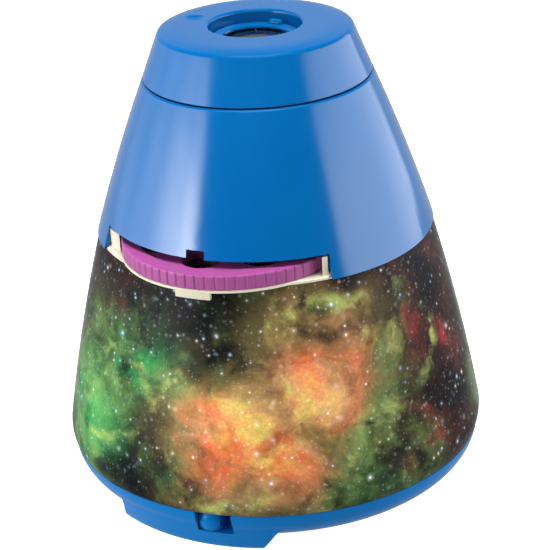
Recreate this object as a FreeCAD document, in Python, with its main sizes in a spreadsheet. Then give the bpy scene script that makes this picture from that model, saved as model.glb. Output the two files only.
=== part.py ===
import FreeCAD, Part
import math
import os
import re
import Sketcher
import PartDesign

os.makedirs("parts", exist_ok=True)
doc = FreeCAD.newDocument("PlanetariumProjector")
V = FreeCAD.Vector


# ----------------------------------------------------------------------
# Driving dimensions, millimetres. Origin: on the floor under the axis.
# Front (the side with the picture drawer) is -Y, +Z is up.
# ----------------------------------------------------------------------
def arc_radius(a, b, c):
    ax, ay = a
    bx, by = b
    cx, cy = c
    d = 2 * (ax * (by - cy) + bx * (cy - ay) + cx * (ay - by))
    ux = ((ax * ax + ay * ay) * (by - cy) + (bx * bx + by * by) * (cy - ay) + (cx * cx + cy * cy) * (ay - by)) / d
    uy = ((ax * ax + ay * ay) * (cx - bx) + (bx * bx + by * by) * (ax - cx) + (cx * cx + cy * cy) * (bx - ax)) / d
    return math.hypot(ax - ux, ay - uy), (ux, uy)


DIMS = [
    # outer shape
    ("total_height", 166.0), ("foot_height", 6.5), ("base_top", 16.3), ("shade_bottom", 16.5),
    ("belly_height", 23.6), ("shade_top", 94.1), ("housing_top", 148.5), ("cap_bottom", 149.0),
    ("foot_radius", 68.45), ("floor_radius", 68.6), ("base_radius", 74.1), ("bowl_mid_radius", 72.3), ("bowl_mid_height", 10.6),
    ("shade_bottom_radius", 74.1), ("belly_radius", 74.75), ("shade_top_radius", 58.65),
    ("housing_top_radius", 39.8), ("cap_bottom_radius", 39.6), ("cap_flat_radius", 26.34), ("shoulder_low_radius", 33.69), ("shoulder_low_height", 163.9), ("shoulder_radius", 32.61), ("shoulder_height", 164.94), ("cap_inner_corner", 30.2),
    ("side_bulge_radius", 68.1), ("side_bulge_height", 57.1),
    ("roll_mid_radius", 74.98), ("roll_mid_height", 20.4),
    ("housing_bottom_radius", 59.3), ("housing_mid_radius", 50.4), ("housing_mid_height", 120.9),
    # walls
    ("sleeve_wall", 0.4), ("shade_wall", 2.1), ("base_wall", 2.2), ("housing_wall", 1.6), ("cap_wall", 2.2), ("seam_round", 0.45), ("opening_round", 1.1),
    ("floor_wall", 2.0), ("foot_inner_radius", 59.5), ("foot_half_angle", 26.4),
    # picture window and drawer
    ("window_top", 102.3), ("window_angle", 92.0), ("notch_half_width", 3.3), ("notch_top", 105.0),
    ("tray_bottom", 94.15), ("tray_thickness", 0.75), ("tray_half_width", 40.0), ("tray_back", 36.0),
    ("tray_front_radius", 58.6), ("wing_half_width", 41.0), ("wing_back", 31.4), ("wing_wall_in", 38.8), ("wing_wall_out", 39.5), ("wing_wall_top", 101.4), ("wheel_offset", 25.6), ("lip_radius", 39.0), ("light_hole_radius", 8.6),
    ("tab_half_width", 6.2), ("tab_shift", 1.7), ("tab_bottom", 91.3), ("tab_inner", 62.35), ("tab_outer", 63.6),
    # picture wheel
    ("wheel_radius", 38.7), ("wheel_bottom", 95.05), ("wheel_top", 100.1), ("rim_width", 5.6),
    ("web_bottom", 97.4), ("web_top", 99.7), ("hub_radius", 5.2), ("spindle_radius", 2.0), ("spindle_gap", 0.08),
    ("picture_radius", 6.8), ("disc_radius", 32.7), ("disc_thickness", 0.45), ("rib_groove_width", 2.7),
    ("rib_groove_depth", 0.35), ("rib_count", 72), ("picture_count", 8),
    # chassis
    ("column_outer", 26.5), ("column_bore", 20.5), ("chassis_bottom", 26.3), ("flange_thickness", 2.0),
    ("flange_radius", 43.0), ("deck_bottom", 91.8), ("deck_top", 93.9), ("deck_radius", 56.0),
    ("rail_inner", 40.3), ("rail_outer", 43.0), ("rail_lip", 39.3), ("rail_top", 96.8), ("rail_front", 31.0),
    ("rail_back", 34.0), ("rail_slot_top", 95.4),
    # battery bay
    ("bay_half_length", 31.0), ("bay_half_width", 23.4), ("bay_ceiling", 24.4), ("bay_wall", 1.7),
    ("battery_radius", 7.1), ("battery_length", 49.2), ("battery_pitch", 15.2), ("battery_height", 16.6),
    # switch
    ("switch_angle", 6.5), ("recess_half_width", 6.45), ("recess_back", 63.8), ("knob_half_width", 3.8), ("knob_rest", -2.3),
    # focusing
    ("opening_radius", 15.95), ("cap_plate", 2.4), ("dimple_radius", 6.56), ("dimple_centre", 22.7), ("dimple_lift", 5.61), ("skirt_inner", 17.7), ("skirt_outer", 19.7), ("skirt_bottom", 143.0),
    ("guide_inner", 15.8), ("guide_outer", 17.4), ("guide_bottom", 134.0), ("guide_top", 160.6), ("cap_ring_bottom", 160.9),
    ("barrel_outer", 15.5), ("barrel_inner", 13.3), ("barrel_bottom", 139.4), ("bezel_top", 161.8),
    ("lens_opening", 11.5), ("pin_radius", 1.2), ("pin_height", 151.0), ("slot_half_width", 1.4),
    ("focus_rise", 3.0), ("focus_half_turn", 45.0),
]
D = dict(DIMS)
for nm_, pts_ in (("shade_side_curve", (("belly_radius", "belly_height"), ("side_bulge_radius", "side_bulge_height"), ("shade_top_radius", "shade_top"))),
                  ("shade_roll_curve", (("shade_bottom_radius", "shade_bottom"), ("roll_mid_radius", "roll_mid_height"), ("belly_radius", "belly_height"))),
                  ("housing_side_curve", (("housing_bottom_radius", "shade_top"), ("housing_mid_radius", "housing_mid_height"), ("housing_top_radius", "housing_top")))):
    r_, c_ = arc_radius(*[(D[a], D[b]) for a, b in pts_])
    DIMS.append((nm_, round(r_, 9)))
    D[nm_] = round(r_, 9)

sheet = doc.addObject("Spreadsheet::Sheet", "Dims")
for i_, (k_, v_) in enumerate(DIMS):
    sheet.set("A%d" % (i_ + 1), k_)
    sheet.set("B%d" % (i_ + 1), repr(v_))
    sheet.setAlias("B%d" % (i_ + 1), k_)
doc.recompute()

TOK = re.compile(r"[A-Za-z_][A-Za-z_0-9]*")


def ex(s):
    """Sheet expression of a sum of names and numbers."""
    return TOK.sub(lambda m_: "Dims." + m_.group(0), s)


def val(s):
    """Number of a sum of signed terms; a term is a number, a name, or name*number."""
    if not isinstance(s, str):
        return float(s)
    total = 0.0
    for sign, term in re.findall(r"([+-]?)\s*([^+-]+)", s.replace(" ", "")):
        p_ = 1.0
        for f_ in term.split("*"):
            p_ *= D[f_] if f_ in D else float(f_)
        total += -p_ if sign == "-" else p_
    return total


def bind(obj, prop, s):
    if isinstance(s, str):
        obj.setExpression(prop, ex(s))
    else:
        o_, parts_ = obj, prop.split(".")
        if len(parts_) == 1:
            setattr(obj, prop, s)
        else:
            obj.setExpression(prop, repr(float(s)))


NODES = {}


def node(name, obj):
    obj.Label = name
    NODES[name] = obj
    return obj


# ----------------------------------------------------------------------
# Sketch helpers
# ----------------------------------------------------------------------
def new_body(name):
    b = doc.addObject("PartDesign::Body", name)
    NODES[name] = b
    b.Label = name
    return b


def sketch(b, role, nm, lift=None, spin=None):
    s = b.newObject("Sketcher::SketchObject", nm)
    pl = [f for f in b.Origin.OriginFeatures if f.Role == role][0]
    s.AttachmentSupport = [(pl, "")]
    s.MapMode = "FlatFace"
    if spin is not None:
        s.AttachmentOffset = FreeCAD.Placement(V(0, 0, 0), FreeCAD.Rotation(V(0, 1, 0) if role != "XY_Plane" else V(0, 0, 1), float(spin)))
    if lift is not None:
        bind(s, "AttachmentOffset.Base.z", lift)
    return s


def fix_point(s, g, p, x, y):
    for kind, c_ in (("DistanceX", x), ("DistanceY", y)):
        v_ = val(c_)
        if abs(v_) < 1e-9:
            s.addConstraint(Sketcher.Constraint("PointOnObject", g, p, -2 if kind == "DistanceX" else -1))
            continue
        if v_ > 0:
            i = s.addConstraint(Sketcher.Constraint(kind, -1, 1, g, p, v_))
            e_ = ex(c_) if isinstance(c_, str) else None
        else:
            i = s.addConstraint(Sketcher.Constraint(kind, g, p, -1, 1, -v_))
            e_ = "-1 * (" + ex(c_) + ")" if isinstance(c_, str) else None
        if e_ and TOK.search(c_):
            s.setExpression("Constraints[%d]" % i, e_)


def loop(s, pts, arcs=None):
    """Closed outline. arcs: index of the segment -> (mid x, mid y, radius name)."""
    arcs = arcs or {}
    n = len(pts)
    g0 = s.GeometryCount
    P = [V(val(x), val(y), 0) for x, y in pts]
    ends = []
    for i in range(n):
        a, b = P[i], P[(i + 1) % n]
        if i in arcs:
            mx, my, rn = arcs[i]
            r, (cx, cy) = arc_radius((a.x, a.y), (val(mx), val(my)), (b.x, b.y))
            t0 = math.atan2(a.y - cy, a.x - cx)
            t1 = math.atan2(b.y - cy, b.x - cx)
            tm = math.atan2(val(my) - cy, val(mx) - cx)
            ccw = ((tm - t0) % (2 * math.pi)) < ((t1 - t0) % (2 * math.pi))
            if ccw:
                arc = Part.ArcOfCircle(Part.Circle(V(cx, cy, 0), V(0, 0, 1), r), t0, t0 + ((t1 - t0) % (2 * math.pi)))
                ends.append((1, 2))
            else:
                arc = Part.ArcOfCircle(Part.Circle(V(cx, cy, 0), V(0, 0, 1), r), t1, t1 + ((t0 - t1) % (2 * math.pi)))
                ends.append((2, 1))
            s.addGeometry(arc, False)
        else:
            s.addGeometry(Part.LineSegment(a, b), False)
            ends.append((1, 2))
    for i in range(n):
        j = (i + 1) % n
        s.addConstraint(Sketcher.Constraint("Coincident", g0 + i, ends[i][1], g0 + j, ends[j][0]))
    for i in range(n):
        fix_point(s, g0 + i, ends[i][0], pts[i][0], pts[i][1])
    for i in arcs:
        rn = arcs[i][2]
        r = s.Geometry[g0 + i].Radius
        k = s.addConstraint(Sketcher.Constraint("Radius", g0 + i, r))
        if rn is not None:
            s.setExpression("Constraints[%d]" % k, ex(rn))


def circle(s, x, y, r):
    g = s.GeometryCount
    s.addGeometry(Part.Circle(V(val(x), val(y), 0), V(0, 0, 1), val(r)), False)
    fix_point(s, g, 3, x, y)
    k = s.addConstraint(Sketcher.Constraint("Radius", g, val(r)))
    if isinstance(r, str):
        s.setExpression("Constraints[%d]" % k, ex(r))


def rect(s, x0, x1, y0, y1):
    loop(s, [(x0, y0), (x1, y0), (x1, y1), (x0, y1)])


def revolve(b, s, nm, angle=360.0, cut=False):
    f = b.newObject("PartDesign::Groove" if cut else "PartDesign::Revolution", nm)
    f.Profile = s
    f.ReferenceAxis = (s, ["V_Axis"])
    f.Angle = 360.0 if not isinstance(angle, str) and angle == 360.0 else val(angle)
    if isinstance(angle, str):
        f.setExpression("Angle", ex(angle))
    if val(angle) != 360.0:
        f.Midplane = True
    b.Tip = f
    return f


def volume(b):
    doc.recompute()
    return b.Shape.Volume


def pad(b, s, nm, length, reverse=False, sym=False):
    f = b.newObject("PartDesign::Pad", nm)
    f.Profile = s
    bind(f, "Length", length)
    f.Reversed = reverse
    if sym:
        f.Midplane = True
    b.Tip = f
    return f


def pocket(b, s, nm, length, reverse=False, sym=False):
    before = volume(b)
    f = b.newObject("PartDesign::Pocket", nm)
    f.Profile = s
    bind(f, "Length", length)
    f.Reversed = reverse
    if sym:
        f.Midplane = True
    b.Tip = f
    after = volume(b)
    if not after < before - 1e-3:
        raise SystemExit("pocket %s cut nothing: %.3f -> %.3f" % (nm, before, after))
    return f


def polar(b, feat, nm, count, sk=None):
    f = b.newObject("PartDesign::PolarPattern", nm)
    f.Originals = [feat]
    ax = [o for o in b.Origin.OriginFeatures if o.Role == "Z_Axis"][0]
    f.Axis = (ax, [""])
    f.Angle = 360.0
    if isinstance(count, str):
        f.setExpression("Occurrences", ex(count))
    else:
        f.Occurrences = count
    b.Tip = f
    return f


# ----------------------------------------------------------------------
# Primitive helpers
# ----------------------------------------------------------------------
COUNT = [0]


def place(o, x, y, z, axis=None, ang=0.0):
    o.Placement = FreeCAD.Placement(V(val(x), val(y), val(z)), FreeCAD.Rotation(V(*axis) if axis else V(0, 0, 1), ang))
    for k_, c_ in (("x", x), ("y", y), ("z", z)):
        if isinstance(c_, str):
            o.setExpression("Placement.Base." + k_, ex(c_))
    return o


def cyl(r, h, x=0, y=0, z=0, axis=None, ang=0.0, nm="cyl"):
    COUNT[0] += 1
    o = doc.addObject("Part::Cylinder", "%s_%d" % (nm, COUNT[0]))
    bind(o, "Radius", r)
    bind(o, "Height", h)
    return place(o, x, y, z, axis, ang)


def cone(r1, r2, h, x=0, y=0, z=0, axis=None, ang=0.0, nm="cone"):
    COUNT[0] += 1
    o = doc.addObject("Part::Cone", "%s_%d" % (nm, COUNT[0]))
    bind(o, "Radius1", r1)
    bind(o, "Radius2", r2)
    bind(o, "Height", h)
    return place(o, x, y, z, axis, ang)


def box(lx, ly, lz, x=0, y=0, z=0, axis=None, ang=0.0, nm="box"):
    COUNT[0] += 1
    o = doc.addObject("Part::Box", "%s_%d" % (nm, COUNT[0]))
    bind(o, "Length", lx)
    bind(o, "Width", ly)
    bind(o, "Height", lz)
    return place(o, x, y, z, axis, ang)


def sphere(r, x=0, y=0, z=0, nm="ball"):
    COUNT[0] += 1
    o = doc.addObject("Part::Sphere", "%s_%d" % (nm, COUNT[0]))
    bind(o, "Radius", r)
    return place(o, x, y, z)


def fuse(*objs):
    COUNT[0] += 1
    o = doc.addObject("Part::MultiFuse", "fuse_%d" % COUNT[0])
    o.Shapes = list(objs)
    return o


def cut(a, b):
    COUNT[0] += 1
    o = doc.addObject("Part::Cut", "cut_%d" % COUNT[0])
    o.Base = a
    o.Tool = b
    return o


def common(a, b):
    COUNT[0] += 1
    o = doc.addObject("Part::Common", "common_%d" % COUNT[0])
    o.Base = a
    o.Tool = b
    return o


def group(*objs):
    COUNT[0] += 1
    o = doc.addObject("Part::Compound", "group_%d" % COUNT[0])
    o.Links = list(objs)
    return o


def tube(r1, r2, h, x=0, y=0, z=0):
    return cut(cyl(r2, h, x, y, z, nm="ring"), cyl(r1, h, x, y, z, nm="bore"))


def screw(x, y, z, head_r, head_h, shank_r, shank_l, up=True, cross=0.6):
    """Pan-head screw: head's face at z, shank going up (or down)."""
    if up:
        h = cyl(head_r, head_h, x, y, z, nm="head")
        s = cyl(shank_r, val(shank_l) + 0.01, x, y, val(z) + val(head_h) - 0.01, nm="shank")
        zc = val(z) - 0.01
    else:
        h = cyl(head_r, head_h, x, y, val(z) - val(head_h), nm="head")
        s = cyl(shank_r, val(shank_l) + 0.01, x, y, val(z) - val(head_h) - val(shank_l), nm="shank")
        zc = val(z) - val(head_h) * 0.55
    w = val(head_r) * 1.2
    c1 = box(w, cross, val(head_h) * 0.55 + 0.01, val(x) - w / 2, val(y) - cross / 2, zc, nm="cross")
    c2 = box(cross, w, val(head_h) * 0.55 + 0.01, val(x) - cross / 2, val(y) - w / 2, zc, nm="cross")
    return cut(fuse(h, s), fuse(c1, c2))


# ======================================================================
# 1. Base pan: dished foot casing with feet, battery bay, switch recess
# ======================================================================
b = new_body("base_pan")
s = sketch(b, "XZ_Plane", "pan_profile")
loop(s, [(0, "foot_height"), ("floor_radius", "foot_height"), ("base_radius", "base_top"),
         ("base_radius-2.8", "base_top"), ("base_radius-2.8", "base_top+3.4"), ("base_radius-4.4", "base_top+3.4"),
         ("base_radius-4.4", "base_top-4.6"), ("floor_radius-base_wall-0.4", "foot_height+floor_wall"), (0, "foot_height+floor_wall")],
     {1: (D["bowl_mid_radius"], D["bowl_mid_height"], None)})
revolve(b, s, "pan_shell")
# feet: two blocks whose outer wall carries the bowl's slope down to the floor
def sector(s, r0, r1, left, right):
    l, r = math.radians(left), math.radians(right)
    m = (r - l) / 2
    loop(s, [(-r1 * math.sin(l), -r1 * math.cos(l)), (r1 * math.sin(r), -r1 * math.cos(r)), (r0 * math.sin(r), -r0 * math.cos(r)), (-r0 * math.sin(l), -r0 * math.cos(l))],
         {0: (r1 * math.sin(m), -r1 * math.cos(m), None), 2: (r0 * math.sin(m), -r0 * math.cos(m), None)})


FOOT = [(12.4, 70.0, 0.0, 21.4, 30.4), (7.2, 60.1, 0.0, 22.4, 26.7), (2.4, 60.1, 0.05, 24.1, 24.2), (0.9, 60.1, 0.2, 24.5, 23.3), (0.25, 60.1, 0.55, 24.1, 22.7), (0.0, 60.1, 1.05, 23.4, 22.0)]
levels = []
for zf, r0, dr, left, right in FOOT:
    fs = sketch(b, "XY_Plane", "foot_at_%d" % int(zf * 100), lift=zf, spin=-3.6)
    sector(fs, r0, D["foot_radius"] + 0.356 * zf - dr, left, right)
    levels.append(fs)
lf = b.newObject("PartDesign::AdditiveLoft", "foot")
lf.Profile = levels[0]
lf.Sections = levels[1:]
lf.Ruled = True
b.Tip = lf
doc.recompute()
polar(b, lf, "feet", 2)
# battery bay: raised box over the floor opening
s = sketch(b, "XY_Plane", "bay_outer", lift="foot_height+0.5")
rect(s, "-bay_half_length-bay_wall", "bay_half_length+bay_wall", "-bay_half_width-bay_wall", "bay_half_width+bay_wall")
pad(b, s, "bay_box", "bay_ceiling+bay_wall-foot_height-0.5")
s = sketch(b, "XY_Plane", "bay_inner")
rect(s, "-bay_half_length", "bay_half_length", "-bay_half_width", "bay_half_width")
pocket(b, s, "bay_hollow", "bay_ceiling", reverse=True)
# door ledge: the opening is wider than the bay under its rim
s = sketch(b, "XY_Plane", "door_seat")
rect(s, "-bay_half_length-4", "bay_half_length+4", "-bay_half_width-3.4", "bay_half_width+3.4")
pocket(b, s, "door_rebate", "foot_height+1.2", reverse=True)
# door latch slots at one end, screw boss at the other
s = sketch(b, "XY_Plane", "latch_slots", lift="foot_height+1.2")
rect(s, -14, -8, "bay_half_width+2.6", "bay_half_width+5.2")
rect(s, 8, 14, "bay_half_width+2.6", "bay_half_width+5.2")
pocket(b, s, "latches", "floor_wall-1.2+0.9", reverse=True)
s = sketch(b, "XY_Plane", "ear_seat")
circle(s, 0, "-bay_half_width-bay_wall-2.9", 4.9)
pocket(b, s, "ear_rebate", "foot_height+1.2", reverse=True)
s = sketch(b, "XY_Plane", "boss_outline", lift="foot_height+1.3")
circle(s, 0, "-bay_half_width-bay_wall-2.9", 3.4)
pad(b, s, "door_boss", 8.5)
s = sketch(b, "XY_Plane", "boss_bore")
circle(s, 0, "-bay_half_width-bay_wall-2.9", 1.3)
pocket(b, s, "door_boss_bore", "foot_height+8.6", reverse=True)
# pillars for the four chassis screws, counterbored from below
for i, (px, py) in enumerate(((40, 12), (-40, 12), (40, -12), (-40, -12))):
    s = sketch(b, "XY_Plane", "pillar_%d" % i, lift="foot_height+0.5")
    circle(s, px, py, 4.2)
    pad(b, s, "pillar_pad_%d" % i, "chassis_bottom-foot_height-0.5")
    s = sketch(b, "XY_Plane", "pillar_head_%d" % i)
    circle(s, px, py, 3.1)
    pocket(b, s, "pillar_counterbore_%d" % i, "chassis_bottom-5.0", reverse=True)
    s = sketch(b, "XY_Plane", "pillar_hole_%d" % i)
    circle(s, px, py, 1.7)
    pocket(b, s, "pillar_bore_%d" % i, "chassis_bottom+1.0", reverse=True)
# switch recess in the front wall, open to the top edge
sa = D["switch_angle"]
s = sketch(b, "XY_Plane", "recess_outer", lift="foot_height+0.3", spin=sa)
loop(s, [("-recess_half_width-1.8", -67.3), ("recess_half_width+1.8", -67.3), ("recess_half_width+1.8", "-recess_back+1.8"), ("-recess_half_width-1.8", "-recess_back+1.8")])
pad(b, s, "recess_box", "base_top-foot_height-0.3")
s = sketch(b, "XY_Plane", "recess_outer_top", lift="bowl_mid_height-0.4", spin=sa)
loop(s, [("-recess_half_width-1.8", -70.6), ("recess_half_width+1.8", -70.6), ("recess_half_width+1.8", -66.0), ("-recess_half_width-1.8", -66.0)])
pad(b, s, "recess_box_top", "base_top-bowl_mid_height+0.4")
s = sketch(b, "XY_Plane", "recess_inner", lift="base_top", spin=sa)
rect(s, "-recess_half_width", "recess_half_width", -80, "-recess_back")
pocket(b, s, "switch_recess", "base_top-foot_height-0.9")
s = sketch(b, "XY_Plane", "recess_rim", lift="base_top+4.0", spin=sa)
rect(s, "-recess_half_width-0.2", "recess_half_width+0.2", -80, "-recess_back-1.6")
pocket(b, s, "recess_rim_cut", "4.0")
s = sketch(b, "XY_Plane", "stem_slot", lift="foot_height+5.6", spin=sa)
rect(s, -4.6, 4.6, "-recess_back-1", "-recess_back+3")
pocket(b, s, "stem_opening", 3.2)

# ======================================================================
# 2-3. Frosted night-light shade and the printed sleeve over it
# ======================================================================
def shade_profile(s, out, inn, top):
    """Ring section between two inward shifts of the outer outline."""
    def sh(a, d):
        return a if d == "0" else a + "-" + d
    o, i = out, inn
    loop(s, [(sh("shade_bottom_radius", o), "shade_bottom"), (sh("belly_radius", o), "belly_height"), (sh("shade_top_radius", o), top),
             (sh("shade_top_radius", i), top), (sh("belly_radius", i), "belly_height"), (sh("shade_bottom_radius", i), "shade_bottom")],
         {0: (sh("roll_mid_radius", o), "roll_mid_height", "shade_roll_curve"), 1: (sh("side_bulge_radius", o), "side_bulge_height", "shade_side_curve"),
          3: (sh("side_bulge_radius", i), "side_bulge_height", "shade_side_curve"), 4: (sh("roll_mid_radius", i), "roll_mid_height", "shade_roll_curve")})


b = new_body("shade")
s = sketch(b, "XZ_Plane", "shade_profile")
shade_profile(s, "sleeve_wall", "sleeve_wall-shade_wall", "shade_top")
revolve(b, s, "shade_shell")

b = new_body("printed_sleeve")
s = sketch(b, "XZ_Plane", "sleeve_profile")
shade_profile(s, "0", "sleeve_wall", "shade_top")
revolve(b, s, "sleeve_shell")

# ======================================================================
# 4. Chassis: lamp column, base flange, deck and drawer rails
# ======================================================================
b = new_body("chassis")
s = sketch(b, "XZ_Plane", "chassis_profile")
loop(s, [("column_bore", "chassis_bottom"), ("flange_radius", "chassis_bottom"), ("flange_radius", "chassis_bottom+flange_thickness"),
         ("column_bore+2.2", "chassis_bottom+flange_thickness"), ("column_bore+2.2", 62.3), ("column_bore+4.2", 63.5), ("column_bore+4.2", 84.3),
         ("column_outer", 85.5), ("column_outer", "deck_bottom"), ("deck_radius", "deck_bottom"),
         ("deck_radius", "deck_top"), ("column_bore+4", "deck_top"), ("column_bore+4", 86), ("column_bore+2", 86),
         ("column_bore+2", 64), ("column_bore", 64)])
revolve(b, s, "chassis_shell")
for side in (1, -1):
    nm = "right" if side > 0 else "left"
    s = sketch(b, "XY_Plane", "rail_" + nm, lift="deck_top-0.1")
    if side > 0:
        rect(s, "rail_lip", "rail_outer", "-rail_front", "rail_back")
    else:
        rect(s, "-rail_outer", "-rail_lip", "-rail_front", "rail_back")
    pad(b, s, "rail_pad_" + nm, "rail_top-deck_top+0.1")
    s = sketch(b, "XY_Plane", "rail_groove_" + nm, lift="rail_slot_top")
    if side > 0:
        rect(s, "rail_lip-0.5", "rail_inner", "-rail_front-1", "rail_back+1")
    else:
        rect(s, "-rail_inner", "-rail_lip+0.5", "-rail_front-1", "rail_back+1")
    pocket(b, s, "rail_slot_" + nm, "rail_slot_top-deck_top")
# bosses for the base screws, holes for the housing screws, wire passage
for i, (px, py) in enumerate(((40, 12), (-40, 12), (40, -12), (-40, -12))):
    s = sketch(b, "XY_Plane", "boss_%d" % i, lift="chassis_bottom")
    circle(s, px, py, 3.2)
    pad(b, s, "boss_pad_%d" % i, 10.0)
    s = sketch(b, "XY_Plane", "boss_hole_%d" % i, lift="chassis_bottom-0.1")
    circle(s, px, py, 1.25)
    pocket(b, s, "boss_bore_%d" % i, 8.6, reverse=True)
s = sketch(b, "XY_Plane", "deck_holes", lift="deck_bottom-0.1")
for px, py in ((48, 14), (-48, 14), (48, -14), (-48, -14)):
    circle(s, px, py, 1.7)
pocket(b, s, "deck_screw_holes", 3.0, reverse=True)
s = sketch(b, "XZ_Plane", "wire_window", lift=30.0)
rect(s, -4, 4, "chassis_bottom+flange_thickness+2.5", "chassis_bottom+flange_thickness+14")
pocket(b, s, "wire_window_cut", 14.0, reverse=False)

# ======================================================================
# 5. Upper housing: blue shell with the drawer window
# ======================================================================
b = new_body("upper_housing")
s = sketch(b, "XZ_Plane", "housing_profile")
loop(s, [("housing_bottom_radius", "shade_top"), ("housing_top_radius", "housing_top"), (20.0, "housing_top"), (20.0, "housing_top-2.6"),
         ("housing_top_radius-housing_wall+1.0", "housing_top-2.6"), ("housing_bottom_radius-housing_wall-0.12", "shade_top")],
     {0: ("housing_mid_radius", "housing_mid_height", "housing_side_curve"),
      4: (D["housing_mid_radius"] - D["housing_wall"] - 0.25, "housing_mid_height", None)})
revolve(b, s, "housing_shell")
s = sketch(b, "XZ_Plane", "housing_top_round")
loop(s, [("housing_top_radius-seam_round-0.05", "housing_top"), ("housing_top_radius+0.2", "housing_top-seam_round-0.05"), ("housing_top_radius+1.5", "housing_top-seam_round"),
         ("housing_top_radius+1.5", "housing_top+0.5"), ("housing_top_radius-seam_round-0.05", "housing_top+0.5")])
w0 = volume(b)
revolve(b, s, "housing_top_rounding", cut=True)
if not volume(b) < w0 - 5:
    raise SystemExit("housing top rounding cut nothing")
s = sketch(b, "YZ_Plane", "window_profile")
rect(s, -70, -48, "shade_top-1", "window_top")
w0 = volume(b)
f = revolve(b, s, "window", "window_angle", cut=True)
if not volume(b) < w0 - 50:
    raise SystemExit("window cut nothing")
s = sketch(b, "XZ_Plane", "notch_profile", lift=48.0)
rect(s, "-notch_half_width", "notch_half_width", "window_top-1", "notch_top")
pocket(b, s, "notch", 22.0, reverse=True)
# bosses for the deck screws
s = sketch(b, "XY_Plane", "housing_bosses", lift="shade_top+0.1")
for px, py in ((48, 14), (-48, 14), (48, -14), (-48, -14)):
    circle(s, px, py, 3.3)
f = pad(b, s, "housing_boss_pads", 16.0)
s = sketch(b, "XY_Plane", "housing_boss_bores", lift="shade_top")
for px, py in ((48, 14), (-48, 14), (48, -14), (-48, -14)):
    circle(s, px, py, 1.25)
pocket(b, s, "housing_boss_holes", 10.0, reverse=True)
# three hanging bosses for the lens guide
s = sketch(b, "XY_Plane", "guide_bosses", lift="guide_bottom+2.0")
for k in range(3):
    a = math.radians(90 + 120 * k)
    circle(s, round(26 * math.cos(a), 4), round(26 * math.sin(a), 4), 3.0)
pad(b, s, "guide_boss_pads", "housing_top-2.6-guide_bottom-2.0+0.5")
s = sketch(b, "XY_Plane", "guide_boss_bores", lift="guide_bottom+1.0")
for k in range(3):
    a = math.radians(90 + 120 * k)
    circle(s, round(26 * math.cos(a), 4), round(26 * math.sin(a), 4), 1.1)
pocket(b, s, "guide_boss_holes", 9.0, reverse=True)

# ======================================================================
# 6. Lens guide: fixed sleeve with three straight slots
# ======================================================================
b = new_body("lens_guide")
s = sketch(b, "XZ_Plane", "guide_profile")
loop(s, [("guide_inner", "guide_bottom"), (30.0, "guide_bottom"), (30.0, "guide_bottom+2.0"), ("guide_outer", "guide_bottom+2.0"),
         ("guide_outer", "guide_top"), ("guide_inner", "guide_top")])
revolve(b, s, "guide_shell")
s = sketch(b, "YZ_Plane", "guide_slot", lift=12.0)
rect(s, "-slot_half_width", "slot_half_width", "guide_bottom-1", "pin_height+focus_rise+slot_half_width")
f = pocket(b, s, "guide_slot_cut", 8.0, reverse=True)
polar(b, f, "guide_slots", 3)
s = sketch(b, "XY_Plane", "guide_holes", lift="guide_bottom-0.1")
for k in range(3):
    a = math.radians(90 + 120 * k)
    circle(s, round(26 * math.cos(a), 4), round(26 * math.sin(a), 4), 1.5)
pocket(b, s, "guide_screw_holes", 3.0, reverse=True)
# openings between the flange spokes
s = sketch(b, "XY_Plane", "guide_relief", lift="guide_bottom-0.1")
for k in range(3):
    a = math.radians(30 + 120 * k)
    circle(s, round(29 * math.cos(a), 4), round(29 * math.sin(a), 4), 9.0)
pocket(b, s, "guide_relief_cut", 3.0, reverse=True)

# ======================================================================
# 7. Focusing cap: turns on the housing, helical slots in its skirt
# ======================================================================
b = new_body("focus_cap")
s = sketch(b, "XZ_Plane", "cap_profile")
loop(s, [("cap_bottom_radius-0.2", "cap_bottom+seam_round"), ("shoulder_low_radius", "shoulder_low_height"), ("shoulder_radius", "shoulder_height"), ("cap_flat_radius", "total_height"),
         ("opening_radius+opening_round", "total_height"), ("opening_radius", "total_height-opening_round"), ("opening_radius", "cap_ring_bottom"),
         ("skirt_inner", "cap_ring_bottom"), ("skirt_inner", "skirt_bottom"), ("skirt_outer", "skirt_bottom"),
         ("skirt_outer", "skirt_bottom+1.1"), ("skirt_outer-0.7", "skirt_bottom+1.1"), ("skirt_outer-0.7", "skirt_bottom+2.3"),
         ("skirt_outer", "skirt_bottom+2.3"), ("skirt_outer", "total_height-cap_plate"), ("cap_inner_corner", "total_height-cap_plate"),
         ("cap_bottom_radius-cap_wall", "cap_bottom"), ("cap_bottom_radius-0.1-seam_round", "cap_bottom")],
     {1: (33.264, 164.539, None), 2: (29.52, 165.733, None),
      4: (D["opening_radius"] + D["opening_round"] * (1 - math.sin(math.radians(45))), D["total_height"] - D["opening_round"] * (1 - math.sin(math.radians(45))), None),
      17: (D["cap_bottom_radius"] - 0.27, D["cap_bottom"] + 0.13, None)})
revolve(b, s, "cap_shell")
# helical slot cutters: meridional rectangles lofted round the axis
half = math.radians(D["focus_half_turn"])
rise = D["focus_rise"]
w = D["slot_half_width"]


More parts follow.
